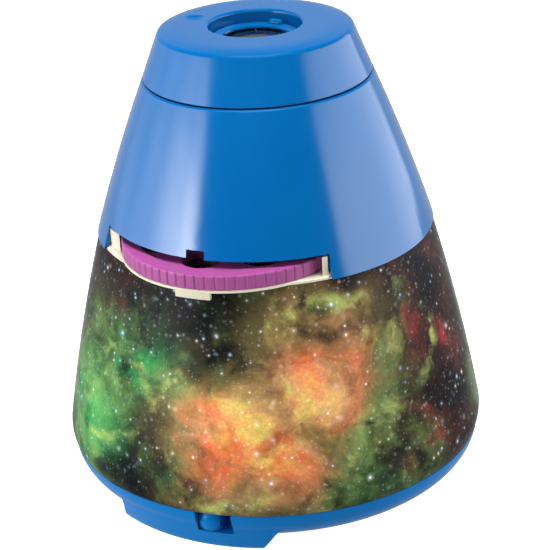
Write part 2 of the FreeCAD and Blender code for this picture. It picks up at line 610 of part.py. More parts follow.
def slot_cutter(start):
    secs = []
    n = 24
    for i in range(n + 1):
        t = -half + 2 * half * i / n
        zc = D["pin_height"] + rise * (-t) / half * -1.0
        a = start + t
        c_, s_ = math.cos(a), math.sin(a)
        r0, r1 = D["skirt_inner"] - 0.6, D["skirt_outer"] + 0.6
        pts = [V(r0 * c_, r0 * s_, zc - w), V(r1 * c_, r1 * s_, zc - w), V(r1 * c_, r1 * s_, zc + w), V(r0 * c_, r0 * s_, zc + w)]
        secs.append(Part.makePolygon(pts + [pts[0]]))
    body = Part.makeLoft(secs, True, True)
    for t, zc in ((-half, D["pin_height"] - rise), (half, D["pin_height"] + rise)):
        a = start + t
        body = body.fuse(Part.makeCylinder(w, 3.4, V((D["skirt_inner"] - 0.7) * math.cos(a), (D["skirt_inner"] - 0.7) * math.sin(a), zc), V(math.cos(a), math.sin(a), 0)))
    return body


COUNT[0] += 1
cutters = doc.addObject("Part::Feature", "helix_cutters")
cutters.Shape = Part.makeCompound([slot_cutter(math.radians(120 * k)) for k in range(3)])
cap = cut(NODES["focus_cap"], cutters)
# finger dimple on the top face: a shallow spherical hollow
cap = cut(cap, sphere("dimple_radius", "-dimple_centre", 0, "total_height+dimple_lift", nm="dimple"))
NODES["focus_cap"].Label = "focus_cap_blank"
del NODES["focus_cap"]
node("focus_cap", cap)

# retaining clip in the skirt's groove, under the housing's top ring
node("cap_clip", cut(tube("skirt_outer-0.65", 22.3, 1.1, 0, 0, "skirt_bottom+1.15"), box(8, 5, 3, 17.5, -2.5, "skirt_bottom+0.2", nm="gap")))

# ======================================================================
# 8. Lens barrel and its optics
# ======================================================================
b = new_body("lens_barrel")
s = sketch(b, "XZ_Plane", "barrel_profile")
loop(s, [("barrel_outer-3.5", "barrel_bottom"), ("barrel_outer", "barrel_bottom"), ("barrel_outer", 161.0), ("barrel_inner", 161.0),
         ("barrel_inner", 158.0), ("barrel_inner-0.9", 158.0), ("barrel_inner-0.9", 141.4), ("barrel_outer-3.5", 141.4)])
revolve(b, s, "barrel_shell")
s = sketch(b, "YZ_Plane", "pin_circle", lift="barrel_outer-0.4")
circle(s, 0, "pin_height", "pin_radius")
f = pad(b, s, "pin", "skirt_outer-barrel_outer+0.3")
polar(b, f, "pins", 3)

b = new_body("lens_bezel")
s = sketch(b, "XZ_Plane", "bezel_profile")
loop(s, [("lens_opening", "bezel_top-0.9"), ("lens_opening+0.3", "bezel_top-0.35"), ("lens_opening+0.9", "bezel_top"), ("barrel_outer-0.6", "bezel_top-0.1"),
         ("barrel_outer", "bezel_top-0.5"), ("barrel_outer", 161.05), ("barrel_inner-0.05", 161.05), ("barrel_inner-0.05", 160.1),
         ("lens_opening+0.9", 160.1), ("lens_opening", 160.5)])
revolve(b, s, "bezel_shell")
# soft grip lug on the bezel's rim, a rounded bar along it
la = math.radians(90 - 6.3)
lx, ly = 13.95 * math.cos(la), 13.95 * math.sin(la)
lug = fuse(fuse(cyl(1.35, 2.6, lx + 1.3 * math.sin(la), ly - 1.3 * math.cos(la), "bezel_top+0.2", (-math.sin(la) * 0 + math.cos(la), math.sin(la), 0), -90, nm="lug_bar"),
                sphere(1.35, lx + 1.3 * math.sin(la), ly - 1.3 * math.cos(la), "bezel_top+0.2", nm="lug_end")),
           sphere(1.35, lx - 1.3 * math.sin(la), ly + 1.3 * math.cos(la), "bezel_top+0.2", nm="lug_end"))
bez = fuse(NODES["lens_bezel"], cut(lug, box(40, 40, 2.0, -20, -20, 159.06, nm="lug_floor")))
NODES["lens_bezel"].Label = "lens_bezel_blank"
del NODES["lens_bezel"]
node("lens_bezel", bez)


def lens(name, r, edge_z, edge_t, crown_up, crown_down):
    """Lens: cylinder edge with spherical caps above and below."""
    bb = new_body(name)
    sk = sketch(bb, "XZ_Plane", name + "_profile")
    e0, e1 = edge_z, edge_z + edge_t

    pts = [(0, e0 - crown_down), (r, e0), (r, e1), (0, e1 + crown_up)]
    arcs = {}
    if crown_down:
        R = (r * r + crown_down * crown_down) / (2 * crown_down)
        zc = e0 - crown_down + R
        arcs[0] = (r * 0.5, zc - math.sqrt(R * R - 0.25 * r * r), None)
    if crown_up:
        R = (r * r + crown_up * crown_up) / (2 * crown_up)
        zc = e1 + crown_up - R
        arcs[2] = (r * 0.5, zc + math.sqrt(R * R - 0.25 * r * r), None)
    loop(sk, pts, arcs)
    revolve(bb, sk, name + "_solid")
    return bb


lens("front_lens", 13.2, 158.2, 1.1, 2.3, 1.2)
lens("rear_lens", 12.2, 143.4, 1.6, 2.4, 0.0)
node("lens_spacer", tube(11.2, 12.3, 157.7 - 145.45, 0, 0, 145.45))
node("lens_retainer", tube(10.6, 12.3, 1.7, 0, 0, 141.5))

# ======================================================================
# 9. Picture drawer, wheel and pictures
# ======================================================================
b = new_body("picture_tray")
c = D["wheel_offset"]
R1, R2 = D["tray_front_radius"], D["lip_radius"]
yi = -(R1 * R1 + c * c - R2 * R2) / (2 * c)
xi = math.sqrt(R1 * R1 - yi * yi)
hw = D["wing_half_width"]
yw = -math.sqrt(R1 * R1 - hw * hw)
am = (math.atan2(hw, -yw) + math.atan2(xi, -yi)) / 2
s = sketch(b, "XY_Plane", "tray_outline", lift="tray_bottom")
loop(s, [("-wing_half_width", round(yw, 6)), (round(-xi, 6), round(yi, 6)), (round(xi, 6), round(yi, 6)),
         ("wing_half_width", round(yw, 6)), ("wing_half_width", "-wing_back"), ("tray_half_width", "-wing_back"), ("tray_half_width", "tray_back"),
         ("-tray_half_width", "tray_back"), ("-tray_half_width", "-wing_back"), ("-wing_half_width", "-wing_back")],
     {0: (-R1 * math.sin(am), -R1 * math.cos(am), None), 1: (0, -(c + R2), None), 2: (R1 * math.sin(am), -R1 * math.cos(am), None)})
pad(b, s, "tray_plate", "tray_thickness")
s = sketch(b, "XY_Plane", "tray_light_hole", lift="tray_bottom-0.5")
circle(s, 0, 0, "light_hole_radius")
circle(s, 0, 27.5, 5.0)
pocket(b, s, "tray_hole", 3.0, reverse=True)
# pull tab hanging from the lip in front of the sleeve
s = sketch(b, "XY_Plane", "tab_outline", lift="tab_bottom")
t1, t2 = D["tab_inner"], D["tab_outer"]
tw = D["tab_half_width"]
u0, u1, um = D["tab_shift"] - tw, D["tab_shift"] + tw, D["tab_shift"]
loop(s, [("tab_shift-tab_half_width", round(-math.sqrt(t1 * t1 - u0 * u0), 6)), ("tab_shift-tab_half_width", round(-math.sqrt(t2 * t2 - u0 * u0), 6)),
         ("tab_shift+tab_half_width", round(-math.sqrt(t2 * t2 - u1 * u1), 6)), ("tab_shift+tab_half_width", round(-math.sqrt(t1 * t1 - u1 * u1), 6))],
     {1: (um, -math.sqrt(t2 * t2 - um * um), None), 3: (um, -math.sqrt(t1 * t1 - um * um), None)})
pad(b, s, "pull_tab", "tray_bottom+0.4-tab_bottom")
# spindle post
s = sketch(b, "XY_Plane", "spindle_circle", lift="tray_bottom+tray_thickness-0.1")
circle(s, 0, "-wheel_offset", "spindle_radius")
pad(b, s, "spindle", "wheel_top-tray_bottom-tray_thickness+0.5")
s = sketch(b, "XY_Plane", "spindle_seat", lift="tray_bottom+tray_thickness-0.1")
circle(s, 0, "-wheel_offset", 5.4)
pad(b, s, "spindle_washer_seat", 0.22)
s = sketch(b, "XY_Plane", "spindle_bore", lift="wheel_top+1.0")
circle(s, 0, "-wheel_offset", 0.9)
pocket(b, s, "spindle_hole", 4.0)
# back rib and posts that hold the click spring
s = sketch(b, "XY_Plane", "tray_back_rib", lift="tray_bottom+tray_thickness-0.1")
rect(s, "-tray_half_width+3", "tray_half_width-3", "tray_back-2", "tray_back-0.5")
rect(s, -17.6, -14.4, 13.8, 16.6)
rect(s, 14.4, 17.6, 13.8, 16.6)
pad(b, s, "tray_back_rib_pad", 2.2)
# end walls of the wings, stood just inside the window's ends; the left one is filled out to the wheel
s = sketch(b, "XY_Plane", "tray_end_walls", lift="tray_bottom+0.1")
wi, wo, wb = D["wing_wall_in"], D["wing_wall_out"], D["wing_back"]
loop(s, [(wi, -wb), (wi, -41.2), (wo + 0.8, -39.9), (wo, -38.0), (wo, -wb)])
rw = D["wheel_radius"] + 0.6
xa, ya = -math.sqrt(rw * rw - (wb + 0.2 - c) ** 2), -(wb + 0.2)
xb, yb = -math.sqrt(rw * rw - (43.0 - c) ** 2), -43.0
am = (math.atan2(ya + c, xa) % (2 * math.pi) + math.atan2(yb + c, xb) % (2 * math.pi)) / 2
loop(s, [(-wo, -wb - 0.2), (-wo, -38.0), (-wo - 0.8, -39.9), (round(xb - 0.9, 4), -42.9), (round(xb, 4), yb), (round(xa, 4), round(ya, 4))],
     {4: (rw * math.cos(am), -c + rw * math.sin(am), None)})
pad(b, s, "tray_end_walls_pad", "wing_wall_top-tray_bottom-0.1")

b = new_body("picture_wheel")
s = sketch(b, "XZ_Plane", "wheel_profile")
loop(s, [("spindle_radius+spindle_gap", "wheel_bottom"), ("hub_radius", "wheel_bottom"), ("hub_radius", "web_bottom"), ("wheel_radius-rim_width", "web_bottom"),
         ("wheel_radius-rim_width", "wheel_bottom"), ("wheel_radius-0.3", "wheel_bottom"), ("wheel_radius", "wheel_bottom+0.3"),
         ("wheel_radius", "wheel_top-0.7"), ("wheel_radius-0.7", "wheel_top"), ("wheel_radius-rim_width+0.3", "wheel_top"), ("wheel_radius-rim_width-0.5", "web_top"),
         ("hub_radius", "web_top"), ("hub_radius", "wheel_top"), ("spindle_radius+spindle_gap", "wheel_top")],
     {7: (D["wheel_radius"] - 0.7 + 0.7 * math.sin(math.radians(45)), D["wheel_top"] - 0.7 + 0.7 * math.sin(math.radians(45)), None)})
revolve(b, s, "wheel_shell")
s = sketch(b, "XY_Plane", "picture_window", lift="web_bottom-0.5")
circle(s, 0, "wheel_offset", "picture_radius")
f = pocket(b, s, "picture_hole", 4.0, reverse=True)
polar(b, f, "picture_holes", "picture_count")
s = sketch(b, "XY_Plane", "rib_groove", lift="wheel_bottom-0.5")
loop(s, [("-rib_groove_width*0.5", "wheel_radius+0.5"), (0, "wheel_radius-rib_groove_depth"), ("rib_groove_width*0.5", "wheel_radius+0.5")])
f = pocket(b, s, "rib_cut", "wheel_top-wheel_bottom+1.0", reverse=True)
polar(b, f, "ribs", "rib_count")
b.setExpression("Placement.Base.y", "-Dims.wheel_offset")

b = new_body("picture_disc")
s = sketch(b, "XZ_Plane", "disc_profile")
rect(s, "hub_radius+0.1", "disc_radius", "web_bottom-disc_thickness-0.03", "web_bottom-0.03")
revolve(b, s, "disc_plate")
b.setExpression("Placement.Base.y", "-Dims.wheel_offset")

o = cut(cyl(8.4, 0.9, 0, "-wheel_offset", "web_bottom-disc_thickness-0.95", nm="clip"), cyl("hub_radius+0.04", 0.9, 0, "-wheel_offset", "web_bottom-disc_thickness-0.95", nm="bore"))
node("disc_clip", o)

# spindle screw: holds the wheel down and passes under the window's notch
hd = fuse(cyl(2.8, 1.95, 0, "-wheel_offset", "wheel_top+0.55", nm="head"), common(sphere(3.4, 0, "-wheel_offset", 101.3), cyl(2.8, 2.2, 0, "-wheel_offset", 102.5, nm="dome")),
          cyl(0.88, 3.6, 0, "-wheel_offset", "wheel_top-3.0", nm="shank"))
node("spindle_screw", cut(hd, fuse(box(3.0, 0.6, 1.0, -1.5, "-wheel_offset-0.3", 103.95, nm="cross"), box(0.6, 3.0, 1.0, -0.3, "-wheel_offset-1.5", 103.95, nm="cross"))))

# click spring: thin strip bowed towards the wheel's ribs
sp = doc.addObject("Part::Feature", "click_spring_shape")
yw_ = -D["wheel_offset"] + D["wheel_radius"]
zs0 = D["wheel_bottom"] + 0.9
strip = [V(-17.0, yw_ + 0.32, zs0), V(-10.0, yw_ + 0.32, zs0), V(-3.0, yw_ + 0.75, zs0), V(-1.0, yw_ + 0.28, zs0), V(1.0, yw_ + 0.28, zs0), V(3.0, yw_ + 0.75, zs0), V(10.0, yw_ + 0.32, zs0), V(17.0, yw_ + 0.32, zs0)]
back = [V(p_.x, p_.y + 0.35, p_.z) for p_ in reversed(strip)]
poly = Part.Face(Part.makePolygon(strip + back + [strip[0]]))
sp.Shape = poly.extrude(V(0, 0, 2.2))
sp.Placement = FreeCAD.Placement(V(0, 0, 0), FreeCAD.Rotation())
node("click_spring", sp)

# ======================================================================
# 10. Lamp inside the column
# ======================================================================
node("lamp_bracket", cut(cyl("column_bore+1.7", 1.5, 0, 0, 64.05, nm="plate"),
                         fuse(box(9, 11, 4, -4.5, -24, 62, nm="wire_gap"), cyl(1.2, 4, 9, 0, 62, nm="hole"), cyl(1.2, 4, -9, 0, 62, nm="hole"))))
node("lamp_board", cut(cyl(12.5, 1.6, 0, 0, 65.55, nm="board"), fuse(cyl(1.6, 4, 9, 0, 64, nm="hole"), cyl(1.6, 4, -9, 0, 64, nm="hole"))))
node("bracket_screws", group(*[screw(x_, 0, 68.55, 2.4, 1.4, 1.15, 2.2, up=False) for x_ in (9, -9)]))
node("projector_led", fuse(box(7, 7, 0.9, -3.5, -3.5, 67.15, nm="led_base"), cyl(2.8, 0.7, 0, 0, 68.05, nm="led_ring"), common(sphere(2.6, 0, 0, 68.6), cyl(2.6, 3.0, 0, 0, 68.6, nm="dome"))))
node("lens_holder", cut(cyl("column_bore+3.7", 3.0, 0, 0, 86.05, nm="holder"), fuse(cyl(11.2, 4, 0, 0, 85.5, nm="bore"), cyl(12.3, 2.0, 0, 0, 87.05, nm="seat"))))
lens("condenser_lens", 12.2, 87.1, 1.6, 2.6, 0.0)

# ======================================================================
# 11. Main board with night-light lamps and parts
# ======================================================================
zb = D["chassis_bottom"] + D["flange_thickness"]
holes = [cyl(4.0, 4, px, py, zb - 1, nm="hole") for px, py in ((40, 12), (-40, 12), (40, -12), (-40, -12))]
node("main_board", cut(tube("column_outer+1.0", 42.4, 1.6, 0, 0, "chassis_bottom+flange_thickness+0.05"), fuse(*holes)))
ztop = zb + 1.65
leds = []
for k in range(6):
    a = math.radians(60 * k)
    x_, y_ = 35.5 * math.cos(a), 35.5 * math.sin(a)
    leds.append(fuse(cyl(2.5, 4.6, x_, y_, ztop + 1.0, nm="lamp"), cyl(2.9, 1.0, x_, y_, ztop, nm="collar"), sphere(2.49, x_, y_, ztop + 5.6)))
node("night_lamps", group(*leds))
node("control_chip", fuse(box(9.8, 3.9, 1.5, -4.9, 33.0, ztop + 0.25, nm="chip"), *[box(0.45, 6.0, 0.5, -4.0 + 1.27 * k, 31.95, ztop, nm="leg") for k in range(7)]))
node("resistors", group(*[box(3.2, 1.6, 0.7, x_, y_, ztop, nm="res") for x_, y_ in ((-31.4, -6), (-31.4, -2), (-31.4, 2), (-31.4, 6), (28.6, 12.0), (28.6, 15.0))]))
node("capacitor", group(cyl(2.9, 8.0, 33.0, -6.0, ztop, nm="can")))

# ======================================================================
# 12. Batteries, springs and contact plates
# ======================================================================
cells, spr, plates = [], [], []
bl, bh, pitch = D["battery_length"], D["battery_height"], D["battery_pitch"]
for k in (-1, 0, 1):
    flip = 1 if k != 0 else -1
    x0 = -22.6 * flip if flip > 0 else -26.6
    yk = k * pitch
    # can from x0 to x0+length along +X; nub on the + end
    if flip > 0:
        body_ = fuse(cyl("battery_radius", "battery_length", -23.4, yk, "battery_height", (0, 1, 0), 90, nm="cell"), cyl(2.7, 1.2, -23.4 + bl, yk, bh, (0, 1, 0), 90, nm="nub"))
        xs = -23.4
        spr.append((xs, -1, yk))
        plates.append(box(0.5, 11, 11, 23.4 + 4.0 + 0.0, yk - 5.5, bh - 5.5, nm="plate"))
    else:
        body_ = fuse(cyl("battery_radius", "battery_length", -25.8, yk, "battery_height", (0, 1, 0), 90, nm="cell"), cyl(2.7, 1.2, -27.0, yk, bh, (0, 1, 0), 90, nm="nub"))
        spr.append((-25.8 + bl, 1, yk))
        plates.append(box(0.5, 11, 11, -27.5, yk - 5.5, bh - 5.5, nm="plate"))
    cells.append(body_)
node("batteries", group(*cells))
for k in (-1, 0, 1):
    yk = k * pitch
    if k != 0:
        plates.append(box(0.5, 11, 11, -30.6, yk - 5.5, bh - 5.5, nm="plate"))
    else:
        plates.append(box(0.5, 11, 11, 30.1, yk - 5.5, bh - 5.5, nm="plate"))
node("battery_contacts", group(*plates))


def strip_outline(line, t):
    """Closed outline of a bent strip of thickness t along a centre line, mitred at the bends."""
    left, right = [], []
    for i, (px, pz) in enumerate(line):
        dirs = []
        if i > 0:
            dirs.append((px - line[i - 1][0], pz - line[i - 1][1]))
        if i < len(line) - 1:
            dirs.append((line[i + 1][0] - px, line[i + 1][1] - pz))
        ns = [(-dz / math.hypot(dx, dz), dx / math.hypot(dx, dz)) for dx, dz in dirs]
        nx, nz = sum(n_[0] for n_ in ns), sum(n_[1] for n_ in ns)
        q = math.hypot(nx, nz)
        nx, nz = nx / q, nz / q
        m_ = t / 2 / (nx * ns[0][0] + nz * ns[0][1])
        left.append((px + nx * m_, pz + nz * m_))
        right.append((px - nx * m_, pz - nz * m_))
    return left + right[::-1]


springs = []
for x_, sg, yk in spr:
    # folded leaf between the contact plate and the cell: foot, fold, bowed tongue
    L = (30.1 - x_) if sg > 0 else (x_ + 30.1)
    line = [(0.22, -4.6), (0.22, 4.0), (0.6, 4.9), (1.5, 5.1), (L - 1.9, 3.2), (L - 0.9, 1.9), (L - 0.4, 0.6), (L - 0.4, -0.6), (L - 0.9, -1.9), (L - 1.9, -3.0), (1.7, -4.3)]
    pts = [V(30.1 * sg - sg * u_, yk - 2.9, bh + w_) for u_, w_ in strip_outline(line, 0.36)]
    springs.append(Part.Face(Part.makePolygon(pts + [pts[0]])).extrude(V(0, 5.8, 0)))
so = doc.addObject("Part::Feature", "battery_springs_shape")
so.Shape = Part.makeCompound(springs)
so.Placement = FreeCAD.Placement(V(0, 0, 0), FreeCAD.Rotation())
node("battery_springs", so)

# ======================================================================
# 13. Battery door and its captive screw
# ======================================================================
b = new_body("battery_door")
s = sketch(b, "XY_Plane", "door_outline", lift="foot_height")
rect(s, "-bay_half_length-3.7", "bay_half_length+3.7", "-bay_half_width-3.1", "bay_half_width+3.1")
pad(b, s, "door_plate", 1.1)
s = sketch(b, "XY_Plane", "door_latches", lift="foot_height+1.1-0.5")
rect(s, -13.6, -8.4, "bay_half_width+1.2", "bay_half_width+3.0")
rect(s, 8.4, 13.6, "bay_half_width+1.2", "bay_half_width+3.0")
s = sketch(b, "XY_Plane", "door_ribs", lift="foot_height+0.9")
rect(s, "-bay_half_length+0.6", "bay_half_length-0.6", -8.2, -7.0)
rect(s, "-bay_half_length+0.6", "bay_half_length-0.6", 7.0, 8.2)
pad(b, s, "door_rib_pads", 1.6)
s = sketch(b, "XY_Plane", "door_screw_ear", lift="foot_height")
circle(s, 0, "-bay_half_width-bay_wall-2.9", 4.6)
pad(b, s, "door_ear", 1.1)
s = sketch(b, "XY_Plane", "door_screw_hole", lift="foot_height-0.5")
circle(s, 0, "-bay_half_width-bay_wall-2.9", 1.5)
pocket(b, s, "door_hole", 3.0, reverse=True)
s = sketch(b, "XY_Plane", "door_grip", lift="foot_height-0.1")
for k in range(3):
    rect(s, -7.0, 7.0, 14.0 + 2.2 * k, 15.0 + 2.2 * k)
pocket(b, s, "door_grip_cuts", 0.5, reverse=True)
node("door_screw", screw(0, "-bay_half_width-bay_wall-2.9", "foot_height-1.3", 2.9, 1.25, 1.2, 7.0))

# ======================================================================
# 14. Slide switch
# ======================================================================
ca, sna = math.cos(math.radians(sa)), math.sin(math.radians(sa))


def sw(x, y):
    """Point in the switch's own frame (x across, y outwards) -> part frame."""
    return (x * ca + (-y) * -sna, x * sna + (-y) * ca)


def turned(o, x, y, z_):
    """Seats a primitive in the switch's own frame."""
    px_, py_ = sw(x, y)
    o.Placement = FreeCAD.Placement(V(px_, py_, val(z_)), FreeCAD.Rotation(V(0, 0, 1), sa))
    return o


knob_ball = turned(sphere(5.7, nm="knob_ball"), D["knob_rest"], 66.4, "foot_height+4.7")
knob_box = turned(box("knob_half_width*2", 8.6, "base_top-foot_height-1.95", nm="knob_box"), D["knob_rest"] - D["knob_half_width"], 73.0, "foot_height+1.0")
knob_stem = turned(box(4.0, 6.6, 2.2, nm="knob_stem"), D["knob_rest"] - 2.0, 66.8, "foot_height+2.9")
node("switch_knob", fuse(common(knob_ball, knob_box), knob_stem))

px, py = sw(0, 57.2)
swb = box(15.0, 5.6, 5.6, 0, 0, 0, nm="switch_case")
swb.Placement = FreeCAD.Placement(V(*(sw(-7.5, 60.3) + (9.2,))), FreeCAD.Rotation(V(0, 0, 1), sa))
brk = box(22.0, 0.8, 5.6, 0, 0, 0, nm="switch_plate")
brk.Placement = FreeCAD.Placement(V(*(sw(-11.0, 61.1) + (9.2,))), FreeCAD.Rotation(V(0, 0, 1), sa))
notch_ = box(9.4, 4.0, 3.4, 0, 0, 0, nm="switch_slot")
notch_.Placement = FreeCAD.Placement(V(*(sw(-4.7, 62.0) + (9.0,))), FreeCAD.Rotation(V(0, 0, 1), sa))
legs = []
for k in (-4, 0, 4):
    lg = box(0.8, 2.0, 0.6, 0, 0, 0, nm="leg")
    lg.Placement = FreeCAD.Placement(V(*(sw(k - 0.4, 54.72) + (12.0,))), FreeCAD.Rotation(V(0, 0, 1), sa))
    legs.append(lg)
node("slide_switch", cut(fuse(swb, brk, *legs), notch_))
ss = []
for k in (-9.4, 9.4):
    x_, y_ = sw(k, 60.25)
    hd = cyl(1.7, 1.0, 0, 0, 0, nm="head")
    hd.Placement = FreeCAD.Placement(V(x_, y_, 12.0) + V(-sna * 1.0, ca * 1.0, 0), FreeCAD.Rotation(V(0, 0, 1), V(sna, -ca, 0)))
    ss.append(hd)
node("switch_screws", group(*ss))

# ======================================================================
# 15. Screws
# ======================================================================
node("chassis_screws", group(*[screw(px_, py_, D["chassis_bottom"] - 7.0, 2.9, 1.95, 1.2, 11.5) for px_, py_ in ((40, 12), (-40, 12), (40, -12), (-40, -12))]))
node("housing_screws", group(*[screw(px_, py_, D["deck_bottom"] - 1.9, 2.9, 1.85, 1.2, 10.5) for px_, py_ in ((48, 14), (-48, 14), (48, -14), (-48, -14))]))
gs = []
for k in range(3):
    a = math.radians(90 + 120 * k)
    gs.append(screw(round(26 * math.cos(a), 4), round(26 * math.sin(a), 4), D["guide_bottom"] - 1.65, 2.3, 1.6, 1.05, 9.0))
node("guide_screws", group(*gs))


# ======================================================================
# 16. Wires: straight runs joined by tangent arcs
# ======================================================================
def wire_path(pts, frac=0.45):
    """Wire of straight runs joined by arcs as large as the runs allow."""
    P = [V(*p_) for p_ in pts]
    edges_, start = [], P[0]
    radii = []
    for i in range(1, len(P) - 1):
        u1 = (P[i] - P[i - 1]).normalize()
        u2 = (P[i + 1] - P[i]).normalize()
        th = u1.getAngle(u2)
        L = min((P[i] - P[i - 1]).Length, (P[i + 1] - P[i]).Length) * frac
        r = L / math.tan(th / 2)
        radii.append(round(r, 1))
        a = P[i] - u1 * L
        c_ = P[i] + u2 * L
        nrm = (u2 - u1).normalize()
        d = L / math.sin(math.atan(L / r)) if r else L
        cen = P[i] + nrm * math.hypot(r, L)
        mid = cen - nrm * r
        edges_.append(Part.LineSegment(start, a).toShape())
        edges_.append(Part.Arc(a, mid, c_).toShape())
        start = c_
    edges_.append(Part.LineSegment(start, P[-1]).toShape())
    return Part.Wire(edges_), radii


def tube_along(pts, r):
    w_, radii = wire_path(pts)
    t0 = (V(*pts[1]) - V(*pts[0])).normalize()
    prof_ = Part.Wire(Part.makeCircle(r, V(*pts[0]), t0))
    sh = w_.makePipeShell([prof_], True, True)
    print("wire radii", radii, "volume ratio %.4f" % (sh.Volume / (math.pi * r * r * w_.Length)))
    return sh


def wires(name, routes, r):
    o_ = doc.addObject("Part::Feature", name + "_shape")
    o_.Shape = Part.makeCompound([tube_along(p_, r) for p_ in routes])
    o_.Placement = FreeCAD.Placement(V(0, 0, 0), FreeCAD.Rotation())
    node(name, o_)


zt = zb + 1.65
wires("lamp_leads", [[(x_, -28.9, zt), (x_, -28.9, zt + 3.6), (x_, -24.8, zt + 6.4), (x_, -19.2, zt + 9.6), (x_, -16.8, zt + 17.0), (x_, -16.4, 56.0),
                      (x_, -15.6, 68.0), (x_, -12.4, 71.2), (x_, -9.9, 70.6), (x_, -9.4, 67.2)] for x_ in (-2.2, 2.2)], 0.6)
rt = []
for k in (-4, 0, 4):
    kx = 0.9 * k
    q0, q1, q2 = sw(k, 52.7), sw(k, 50.2), sw(k, 47.8)
    rt.append([q0 + (12.3,), q1 + (12.6,), q2 + (15.6,), (kx + 2.6, -46.9, 21.0), (kx + 1.6, -46.6, 27.5), (kx + 0.4, -44.4, 32.4), (kx, -40.4, 34.2), (kx, -37.6, 32.6), (kx, -37.2, zt)])
wires("switch_leads", rt, 0.6)
rt = []
for yk in (-3.0, 3.0):
    rt.append([(32.72, yk, 18.0), (35.6, yk, 18.4), (40.0, yk * 1.2, 20.4), (45.8, yk * 1.4, 23.6), (46.9, yk * 1.5, 29.0), (44.8, yk * 1.5, 33.4), (41.4, yk * 1.4, 35.0), (38.9, yk * 1.3, 33.2), (38.4, yk * 1.25, zt)])
wires("battery_leads", rt, 0.6)

# ======================================================================
# Recompute, test and write
# ======================================================================
doc.recompute()
bad = [o.Label for o in doc.Objects if any(t in ("Invalid", "Error") for t in o.State)]
if bad:
    raise SystemExit("failed objects: %s" % bad)
for name, o in NODES.items():
    sh = o.Shape
    if sh.isNull() or not sh.isValid() or not sh.Solids:
        raise SystemExit("bad shape: %s null=%s" % (name, sh.isNull()))
if len(NODES) > 60:
    raise SystemExit("too many nodes")
for name, o in NODES.items():
    o.Shape.exportStep("parts/%s.step" % name)
    print("%-18s solids %d vol %9.1f" % (name, len(o.Shape.Solids), o.Shape.Volume))
print("nodes", len(NODES))
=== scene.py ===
import bpy, bmesh, math
from mathutils import Vector, Matrix

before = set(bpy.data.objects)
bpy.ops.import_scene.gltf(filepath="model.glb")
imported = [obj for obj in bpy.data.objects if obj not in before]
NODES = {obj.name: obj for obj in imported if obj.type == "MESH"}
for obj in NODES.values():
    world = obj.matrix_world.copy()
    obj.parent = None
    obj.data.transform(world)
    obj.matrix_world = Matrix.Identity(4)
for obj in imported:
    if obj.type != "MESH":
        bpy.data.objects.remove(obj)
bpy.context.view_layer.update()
SCENE = bpy.context.scene
MM = 0.001

# ----------------------------------------------------------------------
# Camera: 25 degrees round from the front, about 24 degrees above
# ----------------------------------------------------------------------
AZ, EL, DIST, ZT = math.radians(25.0), 0.42231, 0.6894, 0.07194
cam_data = bpy.data.cameras.new("camera")
cam = bpy.data.objects.new("camera", cam_data)
SCENE.collection.objects.link(cam)
cam_data.sensor_width = 36.0
cam_data.lens = 1920.8 / 550.0 * 36.0
cam_data.clip_start, cam_data.clip_end = 0.01, 50.0
cam.location = (math.sin(AZ) * DIST * math.cos(EL), -math.cos(AZ) * DIST * math.cos(EL), ZT + DIST * math.sin(EL))
aim = Vector((0.002335 * math.cos(AZ), 0.002335 * math.sin(AZ), ZT)) - cam.location
cam.rotation_mode = "QUATERNION"
cam.rotation_quaternion = (aim.to_track_quat("-Z", "Y").to_matrix() @ Matrix.Rotation(math.radians(-3.02), 3, "Z")).to_quaternion()
SCENE.camera = cam
SCENE.view_settings.view_transform = "Standard"
SCENE.view_settings.look = "None"


# ----------------------------------------------------------------------
# Node helpers
# ----------------------------------------------------------------------
def lin(r, g, b):
    """Linear colour of an 8-bit display colour."""
    return tuple((c / 255 / 12.92) if c / 255 <= 0.04045 else ((c / 255 + 0.055) / 1.055) ** 2.4 for c in (r, g, b)) + (1.0,)


